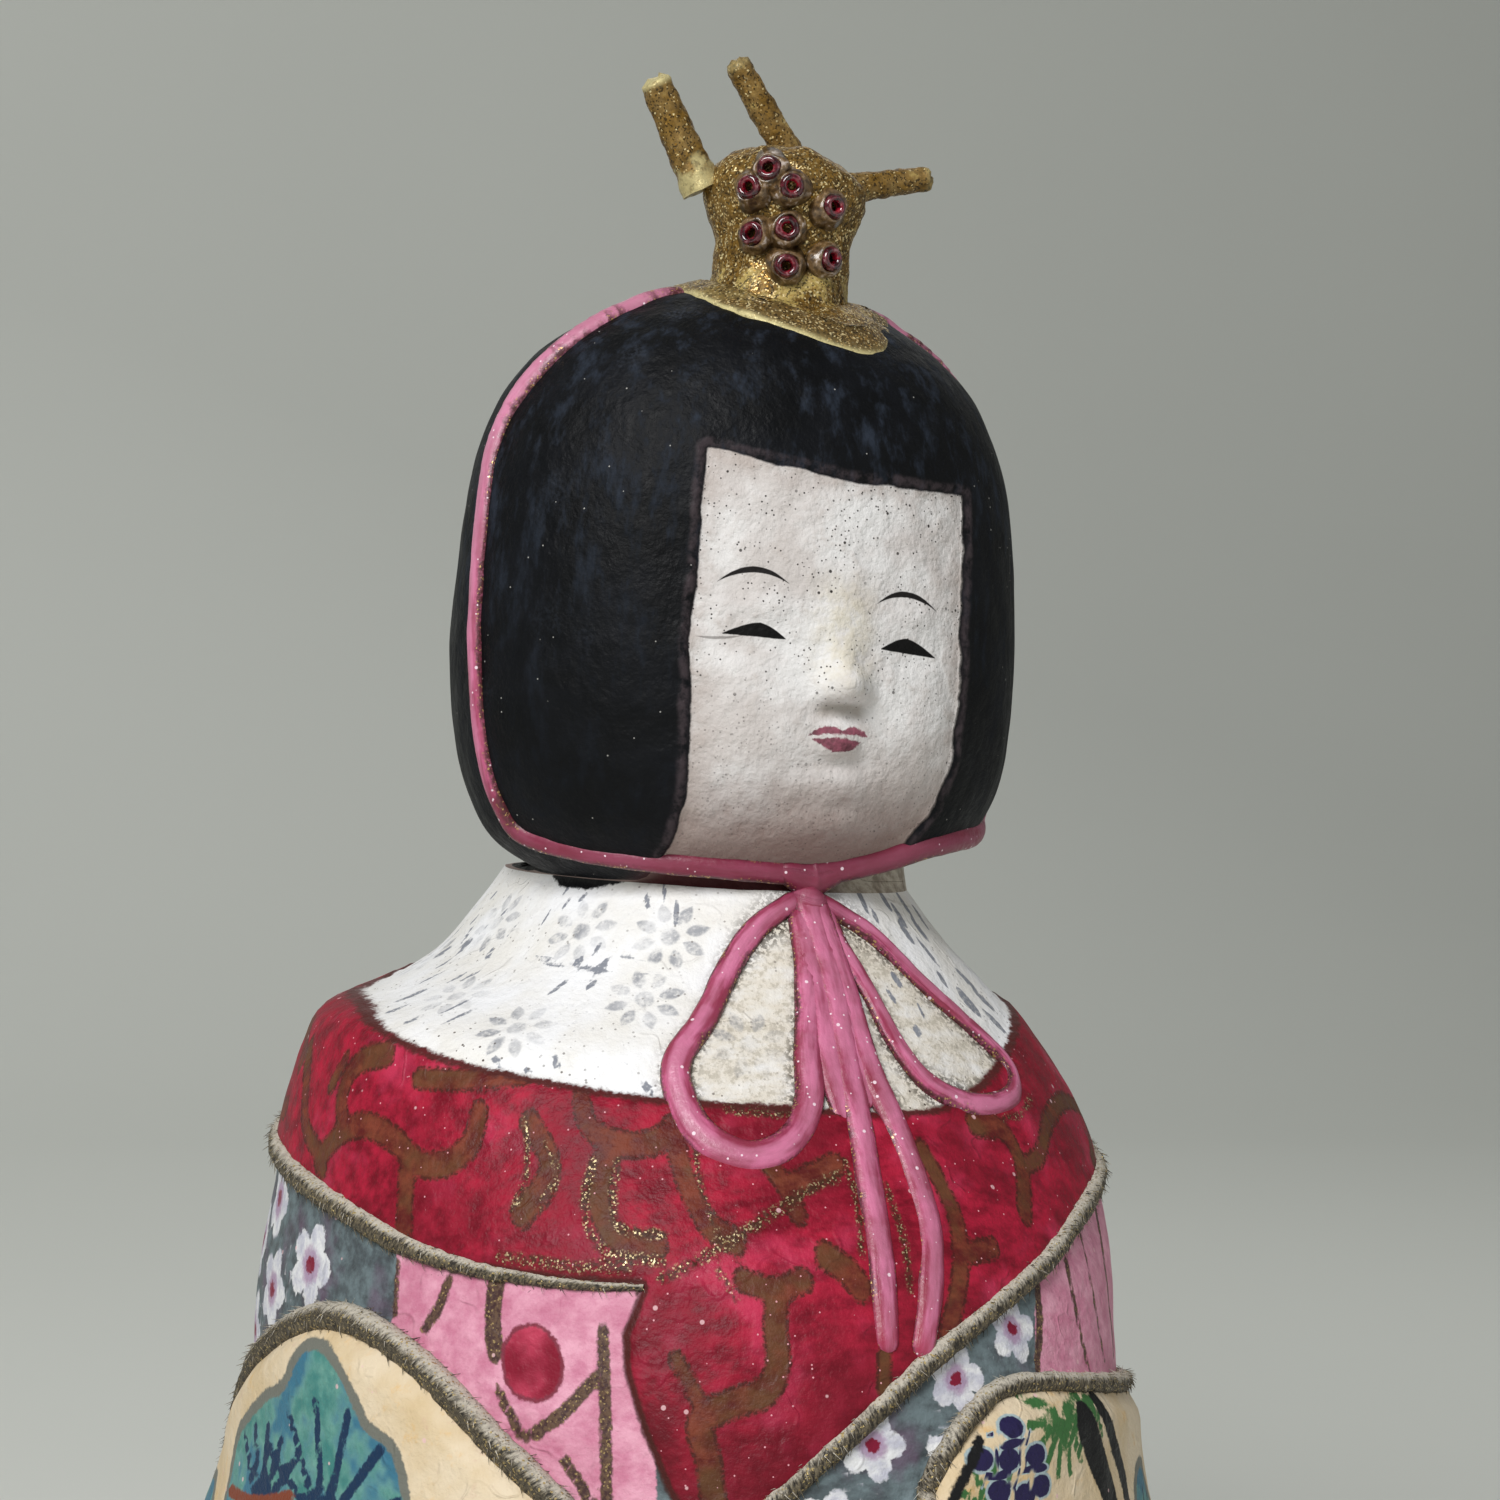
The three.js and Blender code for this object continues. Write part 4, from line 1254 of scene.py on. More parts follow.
# %% The paint of face and hair
def head_paint():
    """The head's paint: a white face with brows, eyes and lips, and black hair."""
    paint = start_material("painted_head")
    mm = paint.mm()
    broad = mm.cloud(8.0, 3.0, 0.6)
    brush = mm.cloud(1.6, 4.0, 0.65)
    grain = mm.cloud(0.35, 3.0, 0.6)
    edge = (mm.cloud(1.2, 3.0, 0.7) - 0.5) * 0.5
    across, height = paint.stored("facing", True).parts()[:2]
    fine = edge * 0.25

    # white skin with painted shade below the chin and a painted shadow under the nose, with its specks,
    # lips, brows and eyes
    skin = broad.tones("#dedcdb", "#d2ccca", 0.3)
    skin = skin.coat(brush.ramp(0.5, 0.8, 0, 0.55), "#b5aaa3")
    skin = skin.coat(broad.ramp(0.42, 0.66, 0, 0.5), "#b8b0ab")
    skin = skin.coat((brush * 0.5 + grain * 0.5).ramp(0.3, 0.42, 0.4, 0), "#f0eeea")
    # painted shade, partly grime: the skin darkens below the chin
    shade = (height + (brush - 0.5) * 5.0).ramp(115.5, 126, 0.92, 0)
    skin = skin.coat(shade, "#86716a")
    bridge = abs(across).ramp(0.5, 4.5, 1, 0) * abs(height - 136).ramp(2, 7, 0.5, 0)
    skin = skin.coat(bridge * brush.ramp(0.3, 0.6), "#d3c9ae")
    dusky = paint.stored("face").ramp(0.0, 2.6, 0.5, 0) * brush.ramp(0.3, 0.6, 0.3, 1)
    skin = skin.coat(dusky, "#a3948c")
    # painted shadow under the nose
    painted_nose_shadow = abs(height - 129.0).ramp(0.2, 1.1, 1, 0) * abs(across).ramp(1.6, 3.2, 1, 0)
    skin = skin.coat(painted_nose_shadow * 0.65, "#8f8378")
    dust = mm.specks(0.45, 0.6, 0.24) + mm.moved(9, 4, 2).specks(1.2, 0.3, 0.15)
    dusty = mm.cloud(3.0, 2.0).ramp(0.4, 0.55, 0.1, 0.95) * height.ramp(126, 134, 0.45, 1)
    skin = skin.coat(dust * dusty, "#2f2a28")
    lips = any_stroke(arched_stroke, across, height, lip_strokes)
    lip_mask = (lips + edge * 1.3 + (grain - 0.5) * 0.4).ramp(-0.1, 0.1)
    skin = skin.coat(lip_mask * 0.92, brush.tones("#5c1a2f", "#8c3d54"))
    brows = any_stroke(arched_stroke, across, height, brow_strokes)
    skin = skin.coat((brows + fine).ramp(-0.05, 0.05), "#1d1a1a")
    eyes = any_stroke(half_moon, across, height, eye_shapes)
    skin = skin.coat((eyes + fine).ramp(-0.05, 0.05), "#0d0c0c")
    lid = any_stroke(arched_stroke, across, height, lid_strokes)
    skin = skin.coat((lid + fine).ramp(-0.05, 0.05) * 0.6, "#5a524e")

    # black hair with a grey-blue haze and worn patches that grow lighter towards the top, partly dust and
    # partly painted sheen, and lint
    hair = paint.mix(broad.ramp(0.35, 0.75), "#030406", "#0b0d12")
    haze = mm.stretched(1.0, 1.0, 0.35).cloud(2.2, 4.0, 0.7)
    # painted sheen, partly dust: the haze and worn patches grow towards the top of the head
    dust_and_sheen_above = height.ramp(122, 156, 0.15, 1)
    hair = hair.coat(haze.ramp(0.48, 0.75, 0, 0.8) * dust_and_sheen_above, "#2a313d")
    worn = mm.stretched(1.0, 1.0, 0.5).cloud(6.0, 3.0).ramp(0.55, 0.75, 0, 0.5)
    hair = hair.coat(worn * grain.ramp(0.35, 0.7) * dust_and_sheen_above, "#434955")
    lint = mm.specks(0.9, 0.12, 0.1)
    hair = hair.coat(lint * 0.7, "#b9b7b2")

    # the ragged edge between face and hair, and under the chin a lining in the greyed tones of the scarf
    # in painted shade, which turns to a painted shadow of the cord towards the front
    face = paint.stored("face")
    ragged = (mm.cloud(5.0, 2.0) - 0.5) * 0.9
    band = abs(face + 0.55 + edge + ragged).ramp(0.1, 0.6, 0.5, 0) * brush.ramp(0.35, 0.6)
    hair = hair.coat(band, "#51464a")
    face_mask = brush_edge(face, edge * 0.6 + ragged, 0.1)
    colours = paint.mix(face_mask, hair, skin)
    under = (paint.stored("under") + edge).ramp(0.5, 0.9) * across.ramp(-16, -12)
    lining_and_cord_shadow = brush.tones("#b9b0a2", "#85796c")
    # painted shadow of the cord: dark red-brown near the front
    lining_and_cord_shadow = lining_and_cord_shadow.coat(across.ramp(1, 6, 1, 0), "#4a2628")
    colours = colours.coat(under, lining_and_cord_shadow)
    rough = haze.ramp(0.3, 0.7, 0.46, 0.68)
    paper = mm.cloud(0.95, 3.0, 0.6)
    soft = mm.cloud(3.2, 3.0, 0.5)
    relief = (brush * 0.35 + grain * 0.2 + paper * 0.2 + soft) * (face_mask * 0.4 + 0.6)
    return finish_material(paint, {"Base Color": colours, "Roughness": rough}, relief, 0.5, 0.14)


shell.data.materials.append(robe_paint())
shell.data.materials.append(head_paint())
print("shell materials:", [m.name for m in shell.data.materials])

# %% [markdown]
# ## Cords laid on the shell
# Thick painted cords edge the collar and the sleeves, a pink cord runs over the
# hair and under the chin, and its bow lies on the chest. Each is a round
# section carried along a path on the skin, sunk a little into it.
# A small tree of geometry nodes does this: it thickens the path, makes the
# section uneven like brushed relief, and gives it its finish.

# %% Starting and ending a tree
def open_tree(name, source, floats, whole, result):
    """A geometry tree with named inputs, as its maker and its inputs: numbers come with a start."""
    tree = bpy.data.node_groups.new(name, "GeometryNodeTree")
    kinds = [(source, "Geometry", None)] + [(title, "Float", start) for title, start in floats.items()]
    kinds += [(title, "Int", start) for title, start in whole.items()] + [("Finish", "Material", None)]
    for title, kind, start in kinds:
        socket = tree.interface.new_socket(title, in_out="INPUT", socket_type="NodeSocket" + kind)
        if start is not None:
            socket.default_value = start
    tree.interface.new_socket(result, in_out="OUTPUT", socket_type="NodeSocketGeometry")
    shape = Maker(tree)
    shape.add("NodeGroupInput")
    return shape, {s.name: Flow(shape, s) for s in shape.last.outputs if s.name}


def close_tree(shape, mesh, finish, result):
    """Ends a geometry tree: its instances become real and get the finish."""
    mesh = shape.add("GeometryNodeRealizeInstances", sockets={"Geometry": mesh})
    mesh = shape.add("GeometryNodeSetMaterial", sockets={"Geometry": mesh, "Material": finish})
    shape.add("NodeGroupOutput", sockets={result: mesh})
    return shape.tree


# %% A tree that thickens a path
def cord_tree():
    """Geometry nodes: a path of points becomes an uneven cord."""
    floats = {"Unevenness": 0.0001, "Lump Size": 0.002, "Step": 0.0007, "Seed": 0.0}
    shape, given = open_tree("laid_cord", "Path", floats, {"Sides": 12}, "Cord")
    curve = shape.add("GeometryNodeMeshToCurve", sockets={"Mesh": given["Path"]})
    thick = shape.add("GeometryNodeInputNamedAttribute", {"data_type": "FLOAT"}, {"Name": "thickness"})
    curve = shape.add("GeometryNodeResampleCurve", {"mode": "LENGTH"},
                      {"Curve": curve, "Length": given["Step"]})
    curve = shape.add("GeometryNodeSetCurveRadius", sockets={"Curve": curve, "Radius": thick})
    ring = shape.add("GeometryNodeCurvePrimitiveCircle", {"mode": "RADIUS"},
                     {"Resolution": given["Sides"], "Radius": 1.0})
    shape.add("GeometryNodeSplineParameter")
    run, turn = Flow(shape, shape.last.outputs["Length"]), Flow(shape, shape.last.outputs["Factor"])
    keep = {"data_type": "FLOAT", "domain": "POINT"}
    curve = shape.add("GeometryNodeStoreNamedAttribute", keep,
                      {"Geometry": curve, "Name": "along", "Value": run * 1000.0})
    ring = shape.add("GeometryNodeStoreNamedAttribute", keep,
                     {"Geometry": ring, "Name": "around", "Value": turn})
    sockets = {"Curve": curve, "Profile Curve": ring, "Scale": thick, "Fill Caps": True}
    mesh = shape.add("GeometryNodeCurveToMesh", sockets=sockets)
    place = shape.add("GeometryNodeInputPosition")
    size = shape.add("ShaderNodeMath", {"operation": "DIVIDE"}, {0: 1.0, 1: given["Lump Size"]})
    lumps = shape.add("ShaderNodeTexNoise", {"noise_dimensions": "4D"},
                      {"Vector": place, "Scale": size, "W": given["Seed"], "Detail": 3.0})
    normal = shape.add("GeometryNodeInputNormal")
    push = (lumps - 0.5) * 2.0 * given["Unevenness"]
    offset = shape.add("ShaderNodeVectorMath", {"operation": "SCALE"}, {0: normal, "Scale": push})
    mesh = shape.add("GeometryNodeSetPosition", sockets={"Geometry": mesh, "Offset": offset})
    mesh = shape.add("GeometryNodeSetShadeSmooth", sockets={"Geometry": mesh})
    return close_tree(shape, mesh, given["Finish"], "Cord")


laid_cord = cord_tree()
print("the cord tree has", len(laid_cord.nodes), "nodes")

# %% [markdown]
# A tree's inputs are set on a modifier, each under its own identifier and
# before the tree is first worked out. The plain mesh that comes out is kept,
# and the modifier goes, so that every piece is a simple mesh in the end.

# %% Meshes grown from paths
def socket_of(tree, name):
    """The identifier of a tree's named input."""
    found = [i for i in tree.interface.items_tree if i.name == name and i.in_out == "INPUT"]
    return found[0].identifier


def grown(source, tree, inputs):
    """The plain mesh that a node tree makes from a mesh; the tree is not kept on it."""
    piece = add_object("path_for_tree", source)
    modifier = piece.modifiers.new("tree", "NODES")
    modifier.node_group = tree
    for name, value in inputs.items():
        modifier[socket_of(tree, name)] = value
    graph = bpy.context.evaluated_depsgraph_get()
    mesh = bpy.data.meshes.new_from_object(piece.evaluated_get(graph), depsgraph=graph)
    bpy.data.objects.remove(piece)
    return mesh


def path_mesh(points, thickness):
    """A mesh of joined points in mm, each with its own cord radius in mm."""
    mesh = bpy.data.meshes.new("path")
    edges = [(i, i + 1) for i in range(len(points) - 1)]
    mesh.from_pydata(to_frame(points).tolist(), edges, [])
    store(mesh, "thickness", np.asarray(thickness) / 1000)
    return mesh


def mesh_points(mesh):
    """Where a mesh's points lie, in mm about the turning axis."""
    places = np.empty(len(mesh.vertices) * 3)
    mesh.vertices.foreach_get("co", places)
    return places.reshape(-1, 3) * 1000 - axis_offset


def move_points(mesh, places):
    """Puts a mesh's points at places in mm about the turning axis."""
    mesh.vertices.foreach_set("co", to_frame(places).ravel())


def spread(values, count):
    """A short list of numbers drawn out evenly to a longer one."""
    return np.interp(np.linspace(0, 1, count), np.linspace(0, 1, len(values)), values)


def on_skin(surface, places, sink, steps=8):
    """A path over the skin through turn and height pairs, sunk towards the axis."""
    eased = rounded(places, steps)
    points = surface(eased[:, 0], eased[:, 1])
    return points - unit(points * (1, 1, 0)) * sink


# %% [markdown]
# ## Finishes of the cords
# The edging cords are brown and gold with a painted highlight along their
# upper side, and have a fuzz of short fibres. The pink cord is glossy paint
# with a painted highlight along its top, paler higher up on the head, a
# painted shadow under the chin, brown dirt and glitter caught along its foot
# and a few white specks.

# %% The cords' paints
def edging_paint():
    """Brown and gold edging with glitter: a painted highlight where it faces up, dark below."""
    paint = start_material("gilt_edging")
    mm = paint.mm()
    along, around = paint.stored("along"), paint.stored("around")
    skew = paint.add("ShaderNodeCombineXYZ", sockets={0: along + around * 2.2, 1: around * 2.0, 2: 0.0})
    strands = skew.cloud(0.3, 3.0, 0.7)
    broad = mm.cloud(3.0, 3.0, 0.6)
    grain = mm.cloud(0.25, 3.0, 0.7)
    upward = paint.add("ShaderNodeNewGeometry", out="Normal").parts()[2]
    base = strands.tones("#1f1a13", "#6f644f", 0.38)
    # painted highlight on the upward side of the cord
    pale = (upward + (strands - 0.5) * 1.2 + (broad - 0.5) * 0.8).ramp(0.25, 0.85, 0, 0.95)
    base = base.coat(pale, "#c6beaf")
    base = base.coat(grain.ramp(0.55, 0.68, 0, 0.7), "#241a12")
    flakes = mm.cells(0.16, "Color").parts()
    gold = flakes[0].ramp(0.9, 0.94)
    base = base.coat(gold, "#b09c6c")
    rough = 0.66 - gold * 0.3
    sockets = {"Base Color": base, "Roughness": rough, "Metallic": gold * 0.7}
    return finish_material(paint, sockets, strands * 0.8 + grain * 0.4, 0.3)


def pink_cord_paint():
    """Glossy pink relief with dirt and glitter in its hollows, a painted highlight on its top and a
    painted shadow under the chin.
    """
    paint = start_material("pink_cord")
    mm = paint.mm()
    along, around = paint.stored("along"), paint.stored("around")
    streak_place = paint.add("ShaderNodeCombineXYZ", sockets={0: along * 0.14, 1: around * 6.0, 2: 0.0})
    brush = streak_place.cloud(0.9, 3.0, 0.6)
    broad = mm.cloud(5.0, 3.0, 0.6)
    grain = mm.cloud(0.4, 3.0, 0.65)
    base = brush.tones("#90304f", "#c66088")
    base = base.coat(broad.ramp(0.42, 0.66, 0, 0.75), "#86293d")
    crown = paint.stored("crown")
    # painted highlight along the top of the cord
    base = base.coat((crown + (brush - 0.5) * 0.5).ramp(0.75, 1.0, 0, 0.4), "#d68cac")
    foot = (crown + (broad - 0.5) * 1.4 + (grain - 0.5) * 0.8).ramp(0.35, 0.7, 1, 0)
    height = mm.parts()[2]
    base = base.coat(height.ramp(122, 160, 0, 0.55), "#cf90ab")
    # painted shadow on the cord under the chin
    painted_chin_shadow = (abs(height - 115.0) + (broad - 0.5) * 7.0).ramp(2.5, 5.5, 0.85, 0)
    base = base.coat(painted_chin_shadow, "#742038")
    low = (height + (brush - 0.5) * 12.0).ramp(72, 80, 0.75, 0)
    base = base.coat(low, "#9e2444")
    base = base.coat(foot * grain.ramp(0.35, 0.55, 0.5, 1), "#471a1e")
    flakes = mm.cells(0.16, "Color").parts()
    gold = flakes[0].ramp(0.9, 0.93) * foot
    base = base.coat(gold, "#bd9a66")
    dots = mm.specks(1.1, 0.2, 0.18) + mm.moved(4, 1, 8).specks(0.6, 0.16, 0.2)
    base = base.coat(dots * 0.85, "#f0dbe4")
    rough = grain.ramp(0.3, 0.7, 0.32, 0.5)
    sockets = {"Base Color": base, "Roughness": rough, "Metallic": gold * 0.7}
    return finish_material(paint, sockets, brush * 0.7 + grain * 0.3, 0.16)


edging = edging_paint()
pink_paint = pink_cord_paint()
print("cord finishes:", edging.name, pink_paint.name)

# %% [markdown]
# The edging is wrapped cord, so besides its own lumps it carries short fibres.
# A second tree strews thin cones over a finished cord and lays them nearly flat.

# %% A tree of fibres
def join_meshes(name, meshes):
    """One object from several meshes with the same materials."""
    parts = [add_object(name, mesh) for mesh in meshes]
    with bpy.context.temp_override(active_object=parts[0], selected_editable_objects=parts):
        bpy.ops.object.join()
    parts[0].data.name = name
    return parts[0]


def fibre_tree():
    """Geometry nodes: short fibres that lie over a cord."""
    floats = {"Density": 2.0e6, "Length": 0.0012, "Thickness": 0.00005, "Lean": 1.1}
    shape, given = open_tree("cord_fibres", "Cord", floats, {"Seed": 5}, "Fibres")
    spots = shape.add("GeometryNodeDistributePointsOnFaces", {"distribute_method": "RANDOM"},
                      {"Mesh": given["Cord"], "Density": given["Density"], "Seed": given["Seed"]})
    turn = Flow(shape, shape.last.outputs["Rotation"])
    hair = shape.add("GeometryNodeMeshCone", {"fill_type": "TRIANGLE_FAN"},
                     {"Vertices": 3, "Side Segments": 2, "Radius Bottom": given["Thickness"],
                      "Radius Top": 0.000008, "Depth": given["Length"]})
    around = shape.add("FunctionNodeRandomValue", {"data_type": "FLOAT"},
                       {2: -0.9, 3: 0.9, "Seed": given["Seed"]}, out=1)
    tilt = shape.add("ShaderNodeCombineXYZ", sockets={0: given["Lean"], 1: 0.0, 2: around})
    local = shape.add("FunctionNodeEulerToRotation", sockets={0: tilt})
    turn = shape.add("FunctionNodeRotateRotation", {"rotation_space": "LOCAL"},
                     {"Rotation": turn, "Rotate By": local})
    size = shape.add("FunctionNodeRandomValue", {"data_type": "FLOAT"},
                     {2: 0.5, 3: 1.25, "Seed": given["Seed"]}, out=1)
    made = shape.add("GeometryNodeInstanceOnPoints", sockets={
        "Points": spots, "Instance": hair, "Rotation": turn, "Scale": size})
    return close_tree(shape, made, given["Finish"], "Fibres")


cord_fibres = fibre_tree()
print("the fibre tree has", len(cord_fibres.nodes), "nodes")


# %% The edging cords
def edging_cord(places, radii, seed):
    """One edging cord and its fibres, as two meshes; its radius follows a short list."""
    points = on_skin(robe_point, places, -0.1)
    path = path_mesh(points, spread(radii, len(points)))
    cord = grown(path, laid_cord, {
        "Unevenness": 0.00030, "Lump Size": 0.0012, "Step": 0.00035, "Seed": seed * 1.0, "Sides": 14,
        "Finish": edging,
    })
    fibres = grown(cord.copy(), cord_fibres, {
        "Density": 1.5e6, "Length": 0.0008, "Thickness": 0.00005, "Lean": 1.05, "Seed": seed,
        "Finish": edging,
    })
    return [cord, fibres]


collar_rim = [
    (-31, 78.7), (-41, 78.4), (-53, 78.6), (-64, 79.7), (-76, 81.5), (-100, 83.9), (-140, 86.5),
    (-180, 87), (-220, 87), (-260, 87), (-300, 85.9), (-322, 83.3), (-335, 80.1), (-346.5, 77.1),
    (-357, 73.3), (-366, 68.7), (-374, 63.9), (-384, 57.5),
]
rims = edging_cord(collar_rim, [0.3, 0.6, 1.1, 1.25, 1.15, 1.1, 1.1, 1.1, 1.0, 1.0, 0.95, 0.9], 3)
rims += edging_cord(right_sleeve_edge, [0.9, 1.2, 1.4, 1.35, 1.2, 1.0], 4)
rims += edging_cord(left_sleeve_edge, [0.9, 0.95, 0.95, 1.0, 1.1, 0.9], 5)
edging_piece = join_meshes("edging_cords", rims)
print("edging cords and fibres have", len(edging_piece.data.polygons), "faces")

# %% [markdown]
# The pink cord is raised paint, flatter than it is wide. Each stretch is grown
# as a round cord, then pressed towards the skin under it. How high a point
# stands above the middle of the cord is stored, so that dirt stays in the foot
# and a painted highlight lies along the top.

# %% The hair cord, the knot and the bow
def pink_cord(surface, places, radii, seed, proud=0.62):
    """One pink band of relief: a cord pressed flat, with its height stored for the dirt and the painted
    highlight.
    """
    points = on_skin(surface, places, -0.4 if surface is head_point else -0.2, 16)
    radius = spread(radii, len(points))
    walked = np.cumsum(np.linalg.norm(np.diff(points, axis=0, prepend=points[:1]), axis=1))
    to_end = np.minimum(walked, walked[-1] - walked) / radius
    radius = radius * np.sqrt(1.02 - (1 - np.clip(to_end, 0, 1)) ** 2)
    mesh = grown(path_mesh(points, radius), laid_cord, {
        "Unevenness": 0.00016, "Lump Size": 0.0035, "Step": 0.0004, "Seed": seed, "Sides": 20,
        "Finish": pink_paint,
    })
    place = mesh_points(mesh)
    order = np.linalg.norm(place[:, None] - points[None], axis=2).argmin(1)
    spine = points[order]
    away = (spine - (0, head_middle[1], 0)) * (1, 1, 0)
    if surface is robe_point:
        away += (0, 0, 0.45) * np.linalg.norm(away, axis=1, keepdims=True)
    away = unit(away)
    height = ((place - spine) * away).sum(1)
    move_points(mesh, place + away * (height * (proud - 1))[:, None])
    store(mesh, "crown", height / radius[order])
    return mesh


hair_cord_radii = [1.0, 1.3, 1.1, 1.0, 1.0, 1.2, 1.3, 1.2, 1.1, 1.0, 1.1, 1.0]
chin_knot = [(-9, 114.2), (1.5, 113.5), (11, 114.5)]
bow_knot = [(-3, 111.9), (0, 111.5), (3, 111.3), (6, 111.9)]
pink_meshes = [
    pink_cord(head_point, hair_cord, hair_cord_radii, 1.0, 0.7),
    pink_cord(robe_point, bow_left_loop, [1.0, 1.15, 1.2, 1.35, 1.6, 1.6, 1.45, 1.3, 1.2], 2.0),
    pink_cord(robe_point, bow_right_loop, [1.0, 1.0, 0.95, 0.95, 1.2, 1.3, 1.0, 0.95, 1.1], 3.0),
    pink_cord(robe_point, bow_tails[0], [1.6, 1.6, 1.5, 1.4, 1.35, 1.3, 1.1], 4.0),
    pink_cord(robe_point, bow_tails[1], [1.5, 1.5, 1.4, 1.3, 1.35, 1.3, 1.1], 5.0),
    pink_cord(robe_point, bow_middle[0], [1.3, 1.6, 1.6, 1.5, 0.8], 7.0, 0.5),
    pink_cord(robe_point, bow_middle[1], [1.3, 1.2, 0.7], 8.0, 0.5),
    pink_cord(robe_point, bow_middle[2], [1.3, 1.6, 1.6, 1.3, 0.6], 9.0, 0.5),
    pink_cord(head_point, chin_knot, [0.9, 2.1, 0.9], 10.0, 0.85),
    pink_cord(robe_point, bow_knot, [1.5, 2.1, 2.1, 1.5], 6.0, 0.7),
]
bow_piece = join_meshes("pink_cord_and_bow", pink_meshes)
print("pink cord and bow have", len(bow_piece.data.polygons), "faces")

# %% [markdown]
# ## The gilded crown
# The crown is paper pulp pressed into a cup on a thin foot that follows the
# hair, then covered with glitter in glue. It is lumpy and leans lower on its
# left side. The grid below starts under the foot's edge, runs in over the foot,
# up the waist and over the top, and closes at both ends.

# %% The crown's cup and foot
crown_middle = (0.4, -9.0)
foot_middle = (1.6, -10.0)
cup_profile = [
    # radius, height
    (8.3, 166.6), (7.5, 167.6), (6.9, 169.4), (6.5, 171.6), (6.6, 174.4), (7.3, 176.6),
    (7.9, 178.6), (7.7, 180.4), (6.6, 181.9), (4.8, 182.8), (2.4, 183.3),
]
crown_columns = 128
cup_rows = 56
blend_rows = 6
crown_droop = 0.16
crown_rise = 54
foot_radius = 11
pulp_lumps = [(0.38, 2.6, 5), (0.16, 0.9, 6)]
foot_steps = [
    # share of the foot's radius, height above the hair
    (0.6, -0.7), (0.93, -0.6), (1.0, 0.1), (0.992, 0.75), (0.97, 1.0), (0.93, 1.1), (0.86, 1.25),
    (0.8, 1.45),
]


def head_top(across, along):
    """The height of the hair above a place, in mm."""
    heights = np.linspace(150, head_sections[-1][0], 400)
    halves = smooth_row(head_sections, heights)[:, 0]
    x = across - head_middle[0] + crown_rise * math.sin(head_lean)
    reach = np.hypot(x, (along - head_middle[1]) / head_depth)
    level = np.interp(-reach, -halves, heights)
    return neck_height + x * math.sin(head_lean) + (level - neck_height) * math.cos(head_lean)


def crown_rows():
    """Rings of points in mm, from under the foot's edge to the top of the cup."""
    angles = np.radians(np.linspace(-180, 180, crown_columns, endpoint=False))
    sine, cosine = np.sin(angles), -np.cos(angles)
    rightward = np.clip(np.cos(angles - 1.2), 0, 1)
    ragged = foot_radius + 0.4 * np.sin(3 * angles + 1) + 0.2 * np.sin(5 * angles)
    ragged = ragged + 1.2 * np.clip(np.cos(angles + 0.9), 0, 1)
    ragged -= 1.8 * np.clip(np.cos(angles - 2.0), 0, 1)
    rings = []
    for share, lift in foot_steps:
        x = foot_middle[0] + ragged * share * sine
        y = foot_middle[1] + ragged * share * cosine
        rings.append(np.stack([x, y, head_top(x, y) + lift * (1 - 0.3 * rightward)], -1))
    foot_ring = rings[-1]
    table = np.column_stack([np.arange(len(cup_profile)), cup_profile])
    profile = smooth_row(table, np.linspace(0, len(cup_profile) - 1, cup_rows))
    for row, (radius, height) in enumerate(profile):
        radius = radius - 0.75 * rightward * max(radius - 6.5, 0) * (height < 171)
        x = crown_middle[0] + radius * sine
        y = crown_middle[1] + radius * cosine
        drop = crown_droop * np.maximum(x - crown_middle[0], 0) * smooth_step(height, 175, 181)
        ring = np.stack([x, y, height - drop], -1)
        if row < blend_rows:
            share = row / blend_rows
            part = 3 * share**2 - 2 * share**3
            ring = foot_ring * (1 - part) + ring * part
            ring[:, 2] = np.maximum(ring[:, 2], head_top(ring[:, 0], ring[:, 1]) + 0.8)
        rings.append(ring)
    return np.array(rings)


def make_crown():
    """The crown as one closed, lumpy skin."""
    rings = crown_rows()
    rows = len(rings)
    points = rings.reshape(-1, 3)
    normals = outward(points, (rows, crown_columns))
    lumps = sum(depth * dents(points, size, seed) for depth, size, seed in pulp_lumps)
    amount = smooth_step(points[:, 2], 163, 167) * 0.8 + 0.2
    points = points + normals * (lumps * amount)[:, None]
    bottom = rings[0].mean(0) - (0, 0, 0.3)
    top = rings[-1].mean(0) + (0, 0, 0.2)
    points = np.vstack([bottom, points, top])
    piece = new_piece("gilded_crown", points, loft_faces(rows, crown_columns))
    ring_number = np.concatenate([[0], np.repeat(np.arange(rows), crown_columns), [rows]])
    store(piece.data, "foot", smooth_step(ring_number, 9, 12) * -1 + 1)
    store(piece.data, "worn_edge", (ring_number >= 2) * smooth_step(4.2 - ring_number, 0, 1))
    return piece


crown = make_crown()
print("crown spans", [round(v * 1000, 1) for v in crown.dimensions], "mm")

# %% [markdown]
# ## Pegs, beads and glue
# The three pegs are rolled paper: they taper, have ragged cream ends and grow
# from small lumps of pulp. The beads are short glass tubes, wound and a bit
# uneven, each set in a ring of glue that has dried cloudy and brown.

# %% Pegs of rolled paper
pegs = {
    "crown_prong_left": ((-7.6, -7.4, 178.8), (-13.3, -7.0, 189.2), 1.15),
    "crown_prong_middle": ((2.9, -7.5, 181.4), (-5.2, -7.5, 192.0), 0.95),
    "crown_prong_right": ((6.2, -9.8, 180.2), (16.0, -10.0, 182.6), 0.9),
}
peg_steps = 40
peg_bend = 0.3
torn_depth = 0.5


